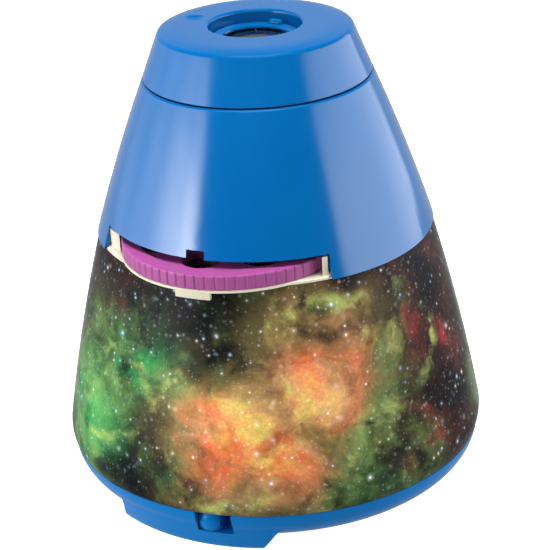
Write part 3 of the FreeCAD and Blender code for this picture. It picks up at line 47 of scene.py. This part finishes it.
class Mat:
    def __init__(self, name, shader=True):
        self.m = bpy.data.materials.new(name)
        self.m.use_nodes = True
        self.t = self.m.node_tree
        self.t.nodes.clear()
        self.out = self.t.nodes.new("ShaderNodeOutputMaterial")
        self.tc = self.t.nodes.new("ShaderNodeTexCoord")
        self.pos = self.tc.outputs["Object"]
        if shader:
            self.bsdf = self.t.nodes.new("ShaderNodeBsdfPrincipled")
            self.t.links.new(self.bsdf.outputs[0], self.out.inputs["Surface"])

    def put(self, sock, v):
        if isinstance(v, bpy.types.NodeSocket):
            self.t.links.new(v, sock)
        else:
            sock.default_value = v

    def set(self, **kw):
        for k, v in kw.items():
            self.put(self.bsdf.inputs[k.replace("_", " ")], v)
        return self

    def math(self, op, a, b=None, c=None, clamp=False):
        n = self.t.nodes.new("ShaderNodeMath")
        n.operation = op
        n.use_clamp = clamp
        for i, v in enumerate((a, b, c)):
            if v is not None:
                self.put(n.inputs[i], v)
        return n.outputs[0]

    def vmath(self, op, a, b=None, scale=None):
        n = self.t.nodes.new("ShaderNodeVectorMath")
        n.operation = op
        self.put(n.inputs[0], a)
        if b is not None:
            self.put(n.inputs[1], b)
        if scale is not None:
            self.put(n.inputs["Scale"], scale)
        return n.outputs["Value"] if op in ("DISTANCE", "LENGTH", "DOT_PRODUCT") else n.outputs["Vector"]

    def noise(self, scale, detail=4.0, rough=0.5, vec=None, kind="FBM", dist=0.0, lac=2.0, out="Fac", offset=None, gain=None):
        n = self.t.nodes.new("ShaderNodeTexNoise")
        n.noise_type = kind
        self.put(n.inputs["Vector"], vec if vec is not None else self.pos)
        self.put(n.inputs["Scale"], scale)
        self.put(n.inputs["Detail"], detail)
        self.put(n.inputs["Roughness"], rough)
        self.put(n.inputs["Lacunarity"], lac)
        self.put(n.inputs["Distortion"], dist)
        if offset is not None:
            self.put(n.inputs["Offset"], offset)
        if gain is not None:
            self.put(n.inputs["Gain"], gain)
        return n.outputs[out]

    def voronoi(self, scale, vec=None, feature="F1", rand=1.0, out="Distance"):
        n = self.t.nodes.new("ShaderNodeTexVoronoi")
        n.feature = feature
        self.put(n.inputs["Vector"], vec if vec is not None else self.pos)
        self.put(n.inputs["Scale"], scale)
        self.put(n.inputs["Randomness"], rand)
        return n.outputs[out] if isinstance(out, str) else [n.outputs[o] for o in out]

    def span(self, v, a, b, lo=0.0, hi=1.0, smooth=True):
        """v from a..b to lo..hi, clamped."""
        n = self.t.nodes.new("ShaderNodeMapRange")
        n.interpolation_type = "SMOOTHSTEP" if smooth else "LINEAR"
        n.clamp = True
        for k, x in (("Value", v), ("From Min", a), ("From Max", b), ("To Min", lo), ("To Max", hi)):
            self.put(n.inputs[k], x)
        return n.outputs[0]

    def ramp(self, fac, stops, interp="LINEAR"):
        n = self.t.nodes.new("ShaderNodeValToRGB")
        n.color_ramp.interpolation = interp
        e = n.color_ramp.elements
        while len(e) < len(stops):
            e.new(0.5)
        for el, (p, c) in zip(e, stops):
            el.position = p
            el.color = c if len(c) == 4 else tuple(c) + (1.0,)
        self.put(n.inputs[0], fac)
        return n.outputs[0]

    def mix(self, fac, a, b, blend="MIX"):
        n = self.t.nodes.new("ShaderNodeMix")
        n.data_type = "RGBA"
        n.blend_type = blend
        n.clamp_factor = True
        self.put(n.inputs[0], fac)
        self.put(n.inputs[6], a)
        self.put(n.inputs[7], b)
        return n.outputs[2]

    def split(self, v):
        n = self.t.nodes.new("ShaderNodeSeparateXYZ")
        self.put(n.inputs[0], v)
        return n.outputs[0], n.outputs[1], n.outputs[2]

    def join(self, x, y, z):
        n = self.t.nodes.new("ShaderNodeCombineXYZ")
        for i, v in enumerate((x, y, z)):
            self.put(n.inputs[i], v)
        return n.outputs[0]

    def bump(self, height, strength, distance, normal=None):
        n = self.t.nodes.new("ShaderNodeBump")
        self.put(n.inputs["Strength"], strength)
        self.put(n.inputs["Distance"], distance)
        self.put(n.inputs["Height"], height)
        if normal is not None:
            self.put(n.inputs["Normal"], normal)
        return n.outputs[0]

    def scaled(self, v, k):
        return self.vmath("SCALE", v, scale=k)

    def shift(self, v, x, y, z):
        return self.vmath("ADD", v, (x, y, z))


def blend_noise(m, a, b, scale, lo=0.35, hi=0.65, detail=3.0):
    return m.mix(m.span(m.noise(scale, detail), lo, hi), a, b)


# ----------------------------------------------------------------------
# Materials
# ----------------------------------------------------------------------
def plastic(name, dark, light, rough, grain=0.000012, grain_scale=5200.0, wave=0.00003, wave_scale=26.0, speck=0.0, sss=0.0, spec=0.5, wobble=0.05):
    """Moulded plastic: slight colour drift, fine grain, slow waviness of the moulded skin."""
    m = Mat(name)
    drift = m.noise(22.0, 3.0, 0.5)
    col = m.mix(m.span(drift, 0.3, 0.7), dark, light)
    if speck:
        s = m.noise(1900.0, 2.0, 0.6)
        col = m.mix(m.math("MULTIPLY", m.span(s, 0.55, 0.75), speck), col, (dark[0] * 0.5, dark[1] * 0.5, dark[2] * 0.5, 1))
    smear = m.noise(60.0, 4.0, 0.6)
    r = m.span(smear, 0.25, 0.75, max(rough - wobble, 0.02), rough + wobble)
    h = m.bump(m.noise(wave_scale, 1.0, 0.4), 1.0, wave)
    h = m.bump(m.noise(grain_scale, 2.0, 0.6), 1.0, grain, h)
    m.set(Base_Color=col, Roughness=r, Normal=h)
    m.bsdf.inputs["IOR"].default_value = 1.5
    m.bsdf.inputs["Specular IOR Level"].default_value = spec
    if sss:
        m.bsdf.inputs["Subsurface Weight"].default_value = sss
        m.bsdf.inputs["Subsurface Radius"].default_value = (0.002, 0.0016, 0.0012)
        m.bsdf.inputs["Subsurface Scale"].default_value = 1.0
    return m


BLUE = plastic("blue_shell", (0.0004, 0.112, 0.352, 1), (0.0007, 0.122, 0.378, 1), 0.15, grain=0.0000020, wave=0.000022, wave_scale=30.0, wobble=0.03)
# A lighter copy of the blue shell plastic for the base, battery door and switch knob: painted light, standing in for
# the light that falls on the lower parts from below.
BLUE_LIT_COPY = plastic("blue_lit_copy", (0.0005, 0.178, 0.530, 1), (0.0008, 0.192, 0.570, 1), 0.20, grain=0.0000040, wave=0.000022, wave_scale=30.0, wobble=0.04, spec=0.10)
BLUE_IN = plastic("blue_inner", (0.0008, 0.110, 0.37, 1), (0.0014, 0.125, 0.42, 1), 0.38, grain=0.00001, grain_scale=3600.0)
MAGENTA = plastic("magenta_plastic", (0.33, 0.066, 0.245, 1), (0.39, 0.080, 0.290, 1), 0.38, grain=0.00001, grain_scale=3000.0, sss=0.12)
CREAM = plastic("cream_plastic", (0.64, 0.60, 0.46, 1), (0.82, 0.77, 0.60, 1), 0.42, grain=0.000014, grain_scale=2600.0, speck=0.30, sss=0.15)
WHITE = plastic("white_plastic", (0.72, 0.72, 0.70, 1), (0.80, 0.80, 0.78, 1), 0.35, grain=0.00001)
BLACK = plastic("black_plastic", (0.010, 0.010, 0.011, 1), (0.018, 0.018, 0.020, 1), 0.45, grain=0.00002, grain_scale=3000.0)


def frosted():
    m = plastic("frosted", (0.78, 0.79, 0.78, 1), (0.86, 0.87, 0.86, 1), 0.5, grain=0.00003, grain_scale=2400.0, sss=0.4)
    return m


FROST = frosted()


def steel(name, tint, rough, brushed=True):
    m = Mat(name)
    x, y, z = m.split(m.pos)
    streak = m.noise(1.0, 3.0, 0.6, vec=m.join(m.math("MULTIPLY", x, 400.0), m.math("MULTIPLY", y, 400.0), m.math("MULTIPLY", z, 9000.0)))
    patch = m.noise(300.0, 4.0, 0.6)
    col = m.mix(m.span(patch, 0.35, 0.7), tint, (tint[0] * 0.72, tint[1] * 0.72, tint[2] * 0.74, 1))
    m.set(Base_Color=col, Roughness=m.span(streak, 0.3, 0.7, rough - 0.07, rough + 0.1), Normal=m.bump(streak if brushed else patch, 1.0, 0.000006))
    m.bsdf.inputs["Metallic"].default_value = 1.0
    return m


STEEL = steel("steel", (0.62, 0.62, 0.60, 1), 0.28)
SPRING = steel("spring_steel", (0.52, 0.51, 0.49, 1), 0.25)
ALU = steel("alu", (0.74, 0.75, 0.76, 1), 0.36)


def board():
    """Fibreglass circuit board: green mask over copper tracks."""
    m = Mat("board")
    track = m.voronoi(330.0, feature="DISTANCE_TO_EDGE", rand=0.35)
    t = m.span(track, 0.07, 0.10, 1.0, 0.0)
    pads = m.voronoi(700.0, rand=0.15)
    p = m.math("MULTIPLY", m.span(pads, 0.10, 0.14, 1.0, 0.0), m.span(m.noise(110.0, 1.0), 0.52, 0.56))
    col = m.mix(t, (0.006, 0.075, 0.030, 1), (0.012, 0.13, 0.05, 1))
    col = m.mix(p, col, (0.62, 0.60, 0.55, 1))
    m.set(Base_Color=col, Roughness=m.math("SUBTRACT", 0.42, m.math("MULTIPLY", p, 0.15)), Metallic=p, Normal=m.bump(m.math("MAXIMUM", t, p), 1.0, 0.00003))
    return m


BOARD = board()


def chip():
    m = plastic("chip", (0.012, 0.012, 0.013, 1), (0.020, 0.020, 0.021, 1), 0.5, grain=0.00003, grain_scale=6000.0)
    return m


CHIP = chip()


def lamp():
    """Clear epoxy lamp with a yellow phosphor low in it."""
    m = Mat("lamp")
    glow = m.span(m.noise(500.0, 2.0), 0.3, 0.7)
    m.set(Base_Color=m.mix(glow, (0.86, 0.85, 0.76, 1), (0.92, 0.90, 0.70, 1)), Roughness=m.span(m.noise(900.0), 0.3, 0.7, 0.06, 0.16))
    m.bsdf.inputs["Transmission Weight"].default_value = 0.55
    m.bsdf.inputs["IOR"].default_value = 1.5
    return m


LAMP = lamp()


def cell():
    """Battery wrap: a plain dark jacket with a metal-coloured band towards one end."""
    m = Mat("cell")
    x, y, z = m.split(m.pos)
    s = m.noise(1.0, 2.0, vec=m.join(m.math("MULTIPLY", x, 60.0), m.math("MULTIPLY", y, 500.0), m.math("MULTIPLY", z, 500.0)))
    band = m.math("MULTIPLY", m.span(x, 0.0095, 0.0100), m.span(x, 0.0235, 0.0240, 1.0, 0.0))
    metal = m.span(m.math("ABSOLUTE", x), 0.0242, 0.0245)
    col = m.mix(band, (0.018, 0.020, 0.024, 1), (0.50, 0.30, 0.10, 1))
    col = m.mix(metal, col, (0.62, 0.62, 0.60, 1))
    m.set(Base_Color=col, Metallic=m.math("MAXIMUM", metal, m.math("MULTIPLY", band, 0.8)), Roughness=m.span(s, 0.3, 0.7, 0.22, 0.36))
    return m


CELL = cell()


def wire(name, c):
    m = Mat(name)
    s = m.noise(800.0, 3.0, 0.6)
    m.set(Base_Color=m.mix(m.span(s, 0.3, 0.7), c, (c[0] * 0.7, c[1] * 0.7, c[2] * 0.7, 1)), Roughness=m.span(s, 0.3, 0.7, 0.38, 0.5), Normal=m.bump(s, 1.0, 0.00001))
    return m


WIRE = wire("wire", (0.35, 0.012, 0.010, 1))


def glass(name, tint, coat):
    """Moulded lens: clear, with a faint coating tint and dust."""
    m = Mat(name)
    dust = m.noise(2600.0, 3.0, 0.7)
    m.set(Base_Color=m.mix(m.span(m.noise(90.0, 2.0), 0.3, 0.7), tint, (tint[0] * 0.94, tint[1] * 0.98, tint[2] * 0.94, 1)),
          Roughness=m.span(dust, 0.62, 0.8, 0.015, 0.12))
    m.bsdf.inputs["Transmission Weight"].default_value = 1.0
    m.bsdf.inputs["IOR"].default_value = 1.52
    m.bsdf.inputs["Thin Film Thickness"].default_value = coat
    m.bsdf.inputs["Thin Film IOR"].default_value = 1.38
    return m


LENS = glass("clear_lens", (0.93, 0.98, 0.93, 1), 420.0)


# ----------------------------------------------------------------------
# The print: a deep-space design of its own, in three dimensions so that it
# has no seam. Places on the print are given as an angle and a height.
# ----------------------------------------------------------------------
def on_print(az, z):
    r = 0.0585 + (0.0933 - z) * 0.222
    return (r * math.cos(math.radians(az)), r * math.sin(math.radians(az)), z)


def starfield(m, p, col, density=1.0, size=1.0):
    """Stars of several sizes over a colour, from faint dust to a few bright ones."""
    for scale, thr, rad, gain, tints in (
        (1500.0, 0.40, 0.24, 0.08, ((0.45, 0.65, 1.0, 1), (1.0, 0.85, 0.7, 1))),
        (820.0, 0.52, 0.20, 0.50, ((0.50, 0.70, 1.0, 1), (1.0, 0.88, 0.7, 1))),
        (430.0, 0.64, 0.17, 1.5, ((0.40, 0.68, 1.0, 1), (1.0, 0.90, 0.75, 1))),
        (210.0, 0.68, 0.12, 2.4, ((0.30, 0.62, 1.0, 1), (1.0, 0.74, 0.45, 1))),
        (105.0, 0.66, 0.070, 2.4, ((0.25, 0.60, 1.0, 1), (0.98, 0.92, 0.78, 1))),
    ):
        d, c = m.voronoi(scale, vec=p, out=("Distance", "Color"))
        cx, cy, cz = m.split(c)
        on = m.span(cx, thr, thr + 0.30 / density, smooth=False)
        core = m.span(d, rad * size, rad * 0.2 * size, 0.0, 1.0)
        glow = m.span(d, rad * 2.8 * size, 0.0, 0.0, 0.20)
        k = m.math("MULTIPLY", m.math("MULTIPLY", m.math("ADD", core, glow), on), gain)
        k = m.math("MULTIPLY", k, m.span(cy, 0.0, 1.0, 0.35, 1.0, smooth=False))
        col = m.mix(k, col, m.mix(cz, tints[0], tints[1]), "ADD")
    return col


def nebula(name, rough, places):
    m = Mat(name)
    p = m.pos
    # warp the field so that clouds curl
    w1 = m.noise(14.0, 4.0, 0.55, vec=p, out="Color")
    w1 = m.vmath("SUBTRACT", w1, (0.5, 0.5, 0.5))
    q = m.vmath("ADD", p, m.scaled(w1, 0.034))
    w2 = m.noise(58.0, 4.0, 0.55, vec=q, out="Color")
    w2 = m.vmath("SUBTRACT", w2, (0.5, 0.5, 0.5))
    q2 = m.vmath("ADD", q, m.scaled(w2, 0.009))
    w3 = m.noise(210.0, 3.0, 0.55, vec=q2, out="Color")
    w3 = m.vmath("SUBTRACT", w3, (0.5, 0.5, 0.5))
    q3 = m.vmath("ADD", q2, m.scaled(w3, 0.0025))

    def blob(az, z, r0, r1):
        """1 within r0 of a place on the print, 0 beyond r1, curled by the warp."""
        d = m.vmath("DISTANCE", q, on_print(az, z))
        return m.span(d, r0, r1, 1.0, 0.0)

    def shell(az, z, r, w):
        """A ring of radius r and width w round a place, curled by the warp."""
        d = m.vmath("DISTANCE", q2, on_print(az, z))
        return m.span(m.math("ABSOLUTE", m.math("SUBTRACT", d, r)), 0.0, w, 1.0, 0.0)

    def union(vals):
        out = vals[0]
        for v in vals[1:]:
            out = m.math("MAXIMUM", out, v)
        return out

    def mul(*vals):
        out = vals[0]
        for v in vals[1:]:
            out = m.math("MULTIPLY", out, v)
        return out

    soft = m.noise(30.0, 6.0, 0.58, vec=q2)
    soft2 = m.noise(44.0, 6.0, 0.60, vec=m.shift(q, 4.4, 0.6, 7.3))
    fine = m.noise(105.0, 7.0, 0.60, vec=q3)
    dustn = m.noise(48.0, 7.0, 0.64, vec=m.shift(q2, 3.1, 1.7, 0.4))
    ridge_a = m.noise(30.0, 8.0, 0.60, vec=q2, kind="RIDGED_MULTIFRACTAL", offset=0.9, gain=2.2)
    ridge_b = m.noise(66.0, 7.0, 0.60, vec=m.shift(q3, 1.3, 4.1, 2.2), kind="RIDGED_MULTIFRACTAL", offset=0.9, gain=2.2)
    fil = m.span(ridge_a, 1.30, 2.5)
    thread = m.span(ridge_b, 1.50, 2.7)
    mottle = m.span(fine, 0.32, 0.70)

    # empty space, from blue-black to brown-black
    col = m.mix(m.span(m.noise(18.0, 3.0, vec=m.shift(p, 7.0, 2.0, 1.0)), 0.40, 0.62), (0.0012, 0.0032, 0.0068, 1), (0.0080, 0.0045, 0.0046, 1))
    # dull red-brown dust, with a few brighter red knots
    red = union([blob(*b) for b in places["dust"]])
    col = m.mix(mul(red, m.span(dustn, 0.34, 0.68), 0.9), col, (0.060, 0.022, 0.018, 1))
    col = m.mix(mul(red, m.math("POWER", m.span(dustn, 0.50, 0.78), 1.6), mottle), col, (0.50, 0.050, 0.050, 1))
    # green veils: a wide glow, mottled cloud, then bright wisps
    green = union([blob(*b) for b in places["green"]])
    col = m.mix(mul(green, m.span(soft, 0.34, 0.66), 0.88), col, (0.040, 0.092, 0.032, 1))
    col = m.mix(mul(green, m.span(soft, 0.44, 0.72), m.span(fine, 0.26, 0.66), 0.92), col, (0.34, 0.66, 0.185, 1))
    col = m.mix(mul(union([blob(*b) for b in places["pool"]]), m.span(dustn, 0.36, 0.62), 0.85), col, (0.028, 0.38, 0.095, 1))
    col = m.mix(mul(green, fil, m.span(soft, 0.40, 0.60), 0.86), col, (0.50, 0.76, 0.20, 1))
    col = m.mix(mul(green, thread, m.span(soft, 0.44, 0.62), 0.78), col, (0.82, 0.95, 0.36, 1))
    # warm cloud: a soft olive and rust glow, then red to salmon in its middle
    warm = union([blob(*b) for b in places["warm"]])
    col = m.mix(mul(warm, m.span(soft2, 0.28, 0.62), 0.85), col, (0.20, 0.14, 0.052, 1))
    col = m.mix(mul(warm, m.span(dustn, 0.40, 0.70), m.span(fine, 0.24, 0.62), 0.85), col, (0.56, 0.30, 0.125, 1))
    hot = union([blob(*b) for b in places["hot"]])
    tone = m.mix(m.span(soft2, 0.36, 0.62), (0.98, 0.170, 0.055, 1), (1.0, 0.48, 0.225, 1))
    tone = m.mix(m.math("MULTIPLY", m.span(fine, 0.54, 0.80), 0.5), tone, (1.0, 0.50, 0.26, 1))
    col = m.mix(mul(hot, m.span(dustn, 0.26, 0.54), 0.94), col, tone)
    edge = m.math("MAXIMUM", hot, mul(warm, 0.8))
    col = m.mix(mul(edge, fil, m.span(fine, 0.30, 0.60), 0.80), col, (1.0, 0.52, 0.085, 1))
    col = m.mix(mul(edge, thread, m.span(soft, 0.42, 0.62), 0.80), col, (1.0, 0.74, 0.16, 1))
    # rims of gas round hollow places
    rim = union([shell(*b) for b in places["rim"]])
    col = m.mix(mul(rim, m.span(fine, 0.42, 0.66), m.span(dustn, 0.40, 0.66), 0.75), col, (0.60, 0.78, 0.20, 1))
    heart = union([blob(*b) for b in places["heart"]])
    col = m.mix(mul(heart, m.span(fine, 0.36, 0.66), 0.9), col, (1.0, 0.76, 0.17, 1))
    # dark lanes and clefts, fewer in the hot middle
    calm = m.math("SUBTRACT", 1.0, mul(hot, 0.72))
    lane = m.noise(22.0, 7.0, 0.56, vec=m.shift(q, 11.0, 5.0, 2.0), kind="RIDGED_MULTIFRACTAL", offset=0.9, gain=2.0)
    col = m.mix(mul(m.span(lane, 1.0, 2.2), calm, 0.95), col, (0.003, 0.005, 0.008, 1))
    cleft = m.noise(52.0, 7.0, 0.60, vec=m.shift(q2, 5.0, 9.0, 3.0))
    col = m.mix(mul(m.span(cleft, 0.50, 0.70), calm, 0.95), col, (0.004, 0.005, 0.007, 1))
    # fine grain of unresolved stars over everything
    grainy = m.noise(900.0, 3.0, 0.75, vec=p)
    col = m.mix(m.span(grainy, 0.40, 0.62, 0.14, 0.0), col, (0.004, 0.006, 0.008, 1))
    col = starfield(m, p, col)
    m.set(Base_Color=col, Roughness=m.span(m.noise(70.0, 3.0), 0.3, 0.7, rough - 0.04, rough + 0.05), Normal=m.bump(m.noise(2400.0, 2.0), 1.0, 0.000004))
    m.bsdf.inputs["Specular IOR Level"].default_value = 0.05
    m.bsdf.inputs["Sheen Weight"].default_value = 0.30
    m.bsdf.inputs["Sheen Roughness"].default_value = 0.16
    m.bsdf.inputs["Sheen Tint"].default_value = (0.95, 0.97, 1.0, 1)
    return m


# places: (angle, height, full radius, outer radius) in metres; rims: (angle, height, ring radius, ring width)
PRINT = nebula("print", 0.34, {
    "dust": [(-124, 0.078, 0.004, 0.036), (-8, 0.050, 0.020, 0.070), (-20, 0.026, 0.010, 0.046), (-14, 0.084, 0.006, 0.036), (60, 0.05, 0.01, 0.07), (150, 0.05, 0.01, 0.07)],
    "green": [(-118, 0.044, 0.022, 0.052), (-94, 0.078, 0.008, 0.036), (-40, 0.026, 0.012, 0.040), (-64, 0.052, 0.034, 0.062), (-36, 0.078, 0.004, 0.028), (40, 0.040, 0.01, 0.05), (100, 0.06, 0.01, 0.06), (180, 0.04, 0.01, 0.06)],
    "pool": [(-132, 0.036, 0.004, 0.032), (-50, 0.022, 0.002, 0.026), (-108, 0.064, 0.002, 0.024), (120, 0.04, 0.002, 0.04)],
    "warm": [(-52, 0.062, 0.018, 0.044), (-80, 0.042, 0.016, 0.044), (-64, 0.030, 0.012, 0.038), (80, 0.05, 0.008, 0.04), (-170, 0.05, 0.008, 0.04)],
    "hot": [(-50, 0.061, 0.006, 0.024), (-77, 0.043, 0.008, 0.027), (-62, 0.032, 0.004, 0.021), (84, 0.05, 0.003, 0.024), (-172, 0.055, 0.003, 0.024)],
    "heart": [(-54, 0.055, 0.001, 0.016), (-72, 0.049, 0.002, 0.018), (-66, 0.034, 0.0, 0.013), (84, 0.05, 0.0, 0.010), (-172, 0.055, 0.0, 0.010)],
    "rim": [(-49, 0.061, 0.029, 0.005), (-79, 0.043, 0.028, 0.005), (-120, 0.050, 0.018, 0.004), (-22, 0.070, 0.016, 0.003), (84, 0.05, 0.026, 0.005), (170, 0.05, 0.024, 0.005)],
})


def film():
    """Slide film: dark frames, each with a small cloud and stars."""
    m = Mat("film")
    p = m.pos
    w = m.vmath("SUBTRACT", m.noise(90.0, 3.0, out="Color"), (0.5, 0.5, 0.5))
    q = m.vmath("ADD", p, m.scaled(w, 0.012))
    a = m.noise(130.0, 6.0, 0.6, vec=q)
    b = m.noise(100.0, 5.0, 0.6, vec=m.shift(q, 2.0, 5.0, 0.0))
    col = m.mix(m.span(a, 0.45, 0.75), (0.004, 0.005, 0.006, 1), (0.05, 0.075, 0.03, 1))
    col = m.mix(m.span(b, 0.55, 0.8), col, (0.12, 0.035, 0.02, 1))
    col = starfield(m, p, col)
    m.set(Base_Color=col, Roughness=m.span(m.noise(200.0), 0.3, 0.7, 0.08, 0.18))
    m.bsdf.inputs["Coat Weight"].default_value = 0.5
    m.bsdf.inputs["Coat Roughness"].default_value = 0.06
    return m


FILM = film()

LOOK = {
    "base_pan": BLUE_LIT_COPY, "shade": FROST, "printed_sleeve": PRINT, "chassis": WHITE, "upper_housing": BLUE, "lens_guide": BLUE,
    "focus_cap": BLUE, "cap_clip": SPRING, "lens_barrel": BLACK, "lens_bezel": BLUE, "front_lens": LENS, "rear_lens": LENS,
    "lens_spacer": BLACK, "lens_retainer": BLACK, "picture_tray": CREAM, "picture_wheel": MAGENTA, "picture_disc": FILM,
    "disc_clip": BLACK, "spindle_screw": STEEL, "click_spring": SPRING, "lamp_bracket": ALU, "lamp_board": BOARD,
    "bracket_screws": STEEL, "projector_led": LAMP, "lens_holder": BLACK, "condenser_lens": LENS, "main_board": BOARD,
    "night_lamps": LAMP, "control_chip": CHIP, "resistors": CHIP, "capacitor": ALU, "batteries": CELL,
    "battery_contacts": SPRING, "battery_springs": SPRING, "battery_door": BLUE_LIT_COPY, "door_screw": STEEL, "switch_knob": BLUE_LIT_COPY,
    "slide_switch": STEEL, "switch_screws": STEEL, "chassis_screws": STEEL, "housing_screws": STEEL, "guide_screws": STEEL,
    "lamp_leads": WIRE, "switch_leads": WIRE, "battery_leads": WIRE,
}

for name, obj in NODES.items():
    look = LOOK.get(name, WHITE)
    obj.data.materials.clear()
    obj.data.materials.append(look.m)

# ----------------------------------------------------------------------
# Floor, light
# ----------------------------------------------------------------------
bm = bmesh.new()
bmesh.ops.create_grid(bm, x_segments=8, y_segments=8, size=6.0)
floor_mesh = bpy.data.meshes.new("floor")
bm.to_mesh(floor_mesh)
bm.free()
floor = bpy.data.objects.new("floor", floor_mesh)
SCENE.collection.objects.link(floor)
fm = Mat("floor", shader=False)
d = fm.t.nodes.new("ShaderNodeBsdfDiffuse")
d.inputs["Color"].default_value = (0.90, 0.90, 0.90, 1)
e = fm.t.nodes.new("ShaderNodeEmission")
e.inputs["Color"].default_value = (1, 1, 1, 1)
e.inputs["Strength"].default_value = 0.93
a = fm.t.nodes.new("ShaderNodeAddShader")
fm.t.links.new(d.outputs[0], a.inputs[0])
fm.t.links.new(e.outputs[0], a.inputs[1])
# seen from underneath the floor is clear, so that the underside of the object shows
under = fm.t.nodes.new("ShaderNodeNewGeometry")
clear = fm.t.nodes.new("ShaderNodeBsdfTransparent")
side = fm.t.nodes.new("ShaderNodeMixShader")
fm.t.links.new(under.outputs["Backfacing"], side.inputs[0])
fm.t.links.new(a.outputs[0], side.inputs[1])
fm.t.links.new(clear.outputs[0], side.inputs[2])
fm.t.links.new(side.outputs[0], fm.out.inputs["Surface"])
floor.data.materials.append(fm.m)
floor.visible_glossy = False
floor.visible_diffuse = False


def softbox(name, az_from, az_to, dist, z0, z1, strength, across_stops, up_stops, side):
    """Upright soft light. Angles are from the camera's side of the object, positive to its right.
    Its light is shaped from its near edge to the back, and from its foot to its top."""
    a0, a1 = math.radians(az_from), math.radians(az_to)
    mid = (a0 + a1) / 2
    half = abs(math.tan((a1 - a0) / 2)) * dist
    data = bpy.data.lights.new(name, "AREA")
    data.shape = "RECTANGLE"
    data.size = 2 * half
    data.size_y = z1 - z0
    data.energy = strength * math.pi * data.size * data.size_y
    data.use_nodes = True
    t = data.node_tree
    em = [n for n in t.nodes if n.type == "EMISSION"][0]
    geo = t.nodes.new("ShaderNodeNewGeometry")
    sep = t.nodes.new("ShaderNodeSeparateXYZ")
    t.links.new(geo.outputs["Parametric"], sep.inputs[0])

    def shape(sock, stops, flip):
        n = t.nodes.new("ShaderNodeValToRGB")
        n.color_ramp.interpolation = "EASE"
        el = n.color_ramp.elements
        while len(el) < len(stops):
            el.new(0.5)
        for e_, (q_, v_) in zip(el, sorted((1 - a_ if flip else a_, b_) for a_, b_ in stops)):
            e_.position = q_
            e_.color = (v_, v_, v_, 1)
        t.links.new(sock, n.inputs[0])
        return n.outputs[0]

    k = t.nodes.new("ShaderNodeMath")
    k.operation = "MULTIPLY"
    t.links.new(shape(sep.outputs[0], across_stops, side < 0), k.inputs[0])
    t.links.new(shape(sep.outputs[1], up_stops, False), k.inputs[1])
    t.links.new(k.outputs[0], em.inputs["Strength"])
    obj = bpy.data.objects.new(name, data)
    SCENE.collection.objects.link(obj)
    ang = AZ + mid
    obj.location = (math.sin(ang) * dist, -math.cos(ang) * dist, (z0 + z1) / 2)
    obj.rotation_mode = "QUATERNION"
    inward = Vector((-math.sin(ang), math.cos(ang), 0))
    obj.rotation_quaternion = inward.to_track_quat("-Z", "Y")
    obj.visible_camera = False
    return obj


def fill(name, az, el, dist, size, strength):
    """Soft light for body colour only: it leaves no highlight of its own."""
    data = bpy.data.lights.new(name, "AREA")
    data.shape = "DISK"
    data.size = size
    data.energy = strength * math.pi * math.pi * size * size / 4
    obj = bpy.data.objects.new(name, data)
    SCENE.collection.objects.link(obj)
    a_, e_ = AZ + math.radians(az), math.radians(el)
    out = Vector((math.sin(a_) * math.cos(e_), -math.cos(a_) * math.cos(e_), math.sin(e_)))
    obj.location = out * dist + Vector((0, 0, 0.08))
    obj.rotation_mode = "QUATERNION"
    obj.rotation_quaternion = (-out).to_track_quat("-Z", "Y")
    obj.visible_camera = False
    obj.visible_glossy = False
    return obj


softbox("light_left", -46.6, -134, 0.62, 0.0, 0.44, 15.5,
        ((0.0, 0.0), (0.07, 0.85), (0.13, 1.0), (0.24, 0.60), (0.50, 0.18), (0.72, 0.07), (1.0, 0.02)),
        ((0.0, 0.8), (0.45, 1.0), (0.60, 0.75), (0.80, 0.33), (1.0, 0.18)), -1)
softbox("light_right", 47.4, 132, 0.62, 0.0, 0.44, 3.9,
        ((0.0, 0.0), (0.05, 0.85), (0.12, 1.0), (0.30, 1.0), (0.60, 0.80), (1.0, 0.55)),
        ((0.0, 1.0), (0.50, 1.0), (1.0, 0.55)), 1)
fill("fill_top", 0, 84, 0.95, 0.60, 14.8)
fill("fill_front", -8, 38, 1.05, 0.80, 0.40)

world = bpy.data.worlds.new("studio")
SCENE.world = world
world.use_nodes = True
wt = world.node_tree
wt.nodes.clear()
wout = wt.nodes.new("ShaderNodeOutputWorld")
wtc = wt.nodes.new("ShaderNodeTexCoord")


def world_span(direction, lo, hi, v0, v1):
    dot = wt.nodes.new("ShaderNodeVectorMath")
    dot.operation = "DOT_PRODUCT"
    wt.links.new(wtc.outputs["Generated"], dot.inputs[0])
    dot.inputs[1].default_value = direction
    n = wt.nodes.new("ShaderNodeMapRange")
    n.interpolation_type = "SMOOTHSTEP"
    wt.links.new(dot.outputs["Value"], n.inputs["Value"])
    for k_, v_ in (("From Min", lo), ("From Max", hi), ("To Min", v0), ("To Max", v1)):
        n.inputs[k_].default_value = v_
    return n.outputs[0]


back = world_span((-math.sin(AZ), math.cos(AZ), 0.0), 0.45, 0.90, 0.015, 0.46)
low = world_span((0.0, 0.0, 1.0), -0.10, 0.06, 0.0, 1.0)
wk = wt.nodes.new("ShaderNodeMix")
wk.data_type = "FLOAT"
wt.links.new(low, wk.inputs[0])
wk.inputs[2].default_value = 0.58
wt.links.new(back, wk.inputs[3])
bg = wt.nodes.new("ShaderNodeBackground")
wt.links.new(wk.outputs[0], bg.inputs["Strength"])
bg.inputs["Color"].default_value = (1, 1, 1, 1)
wt.links.new(bg.outputs[0], wout.inputs["Surface"])
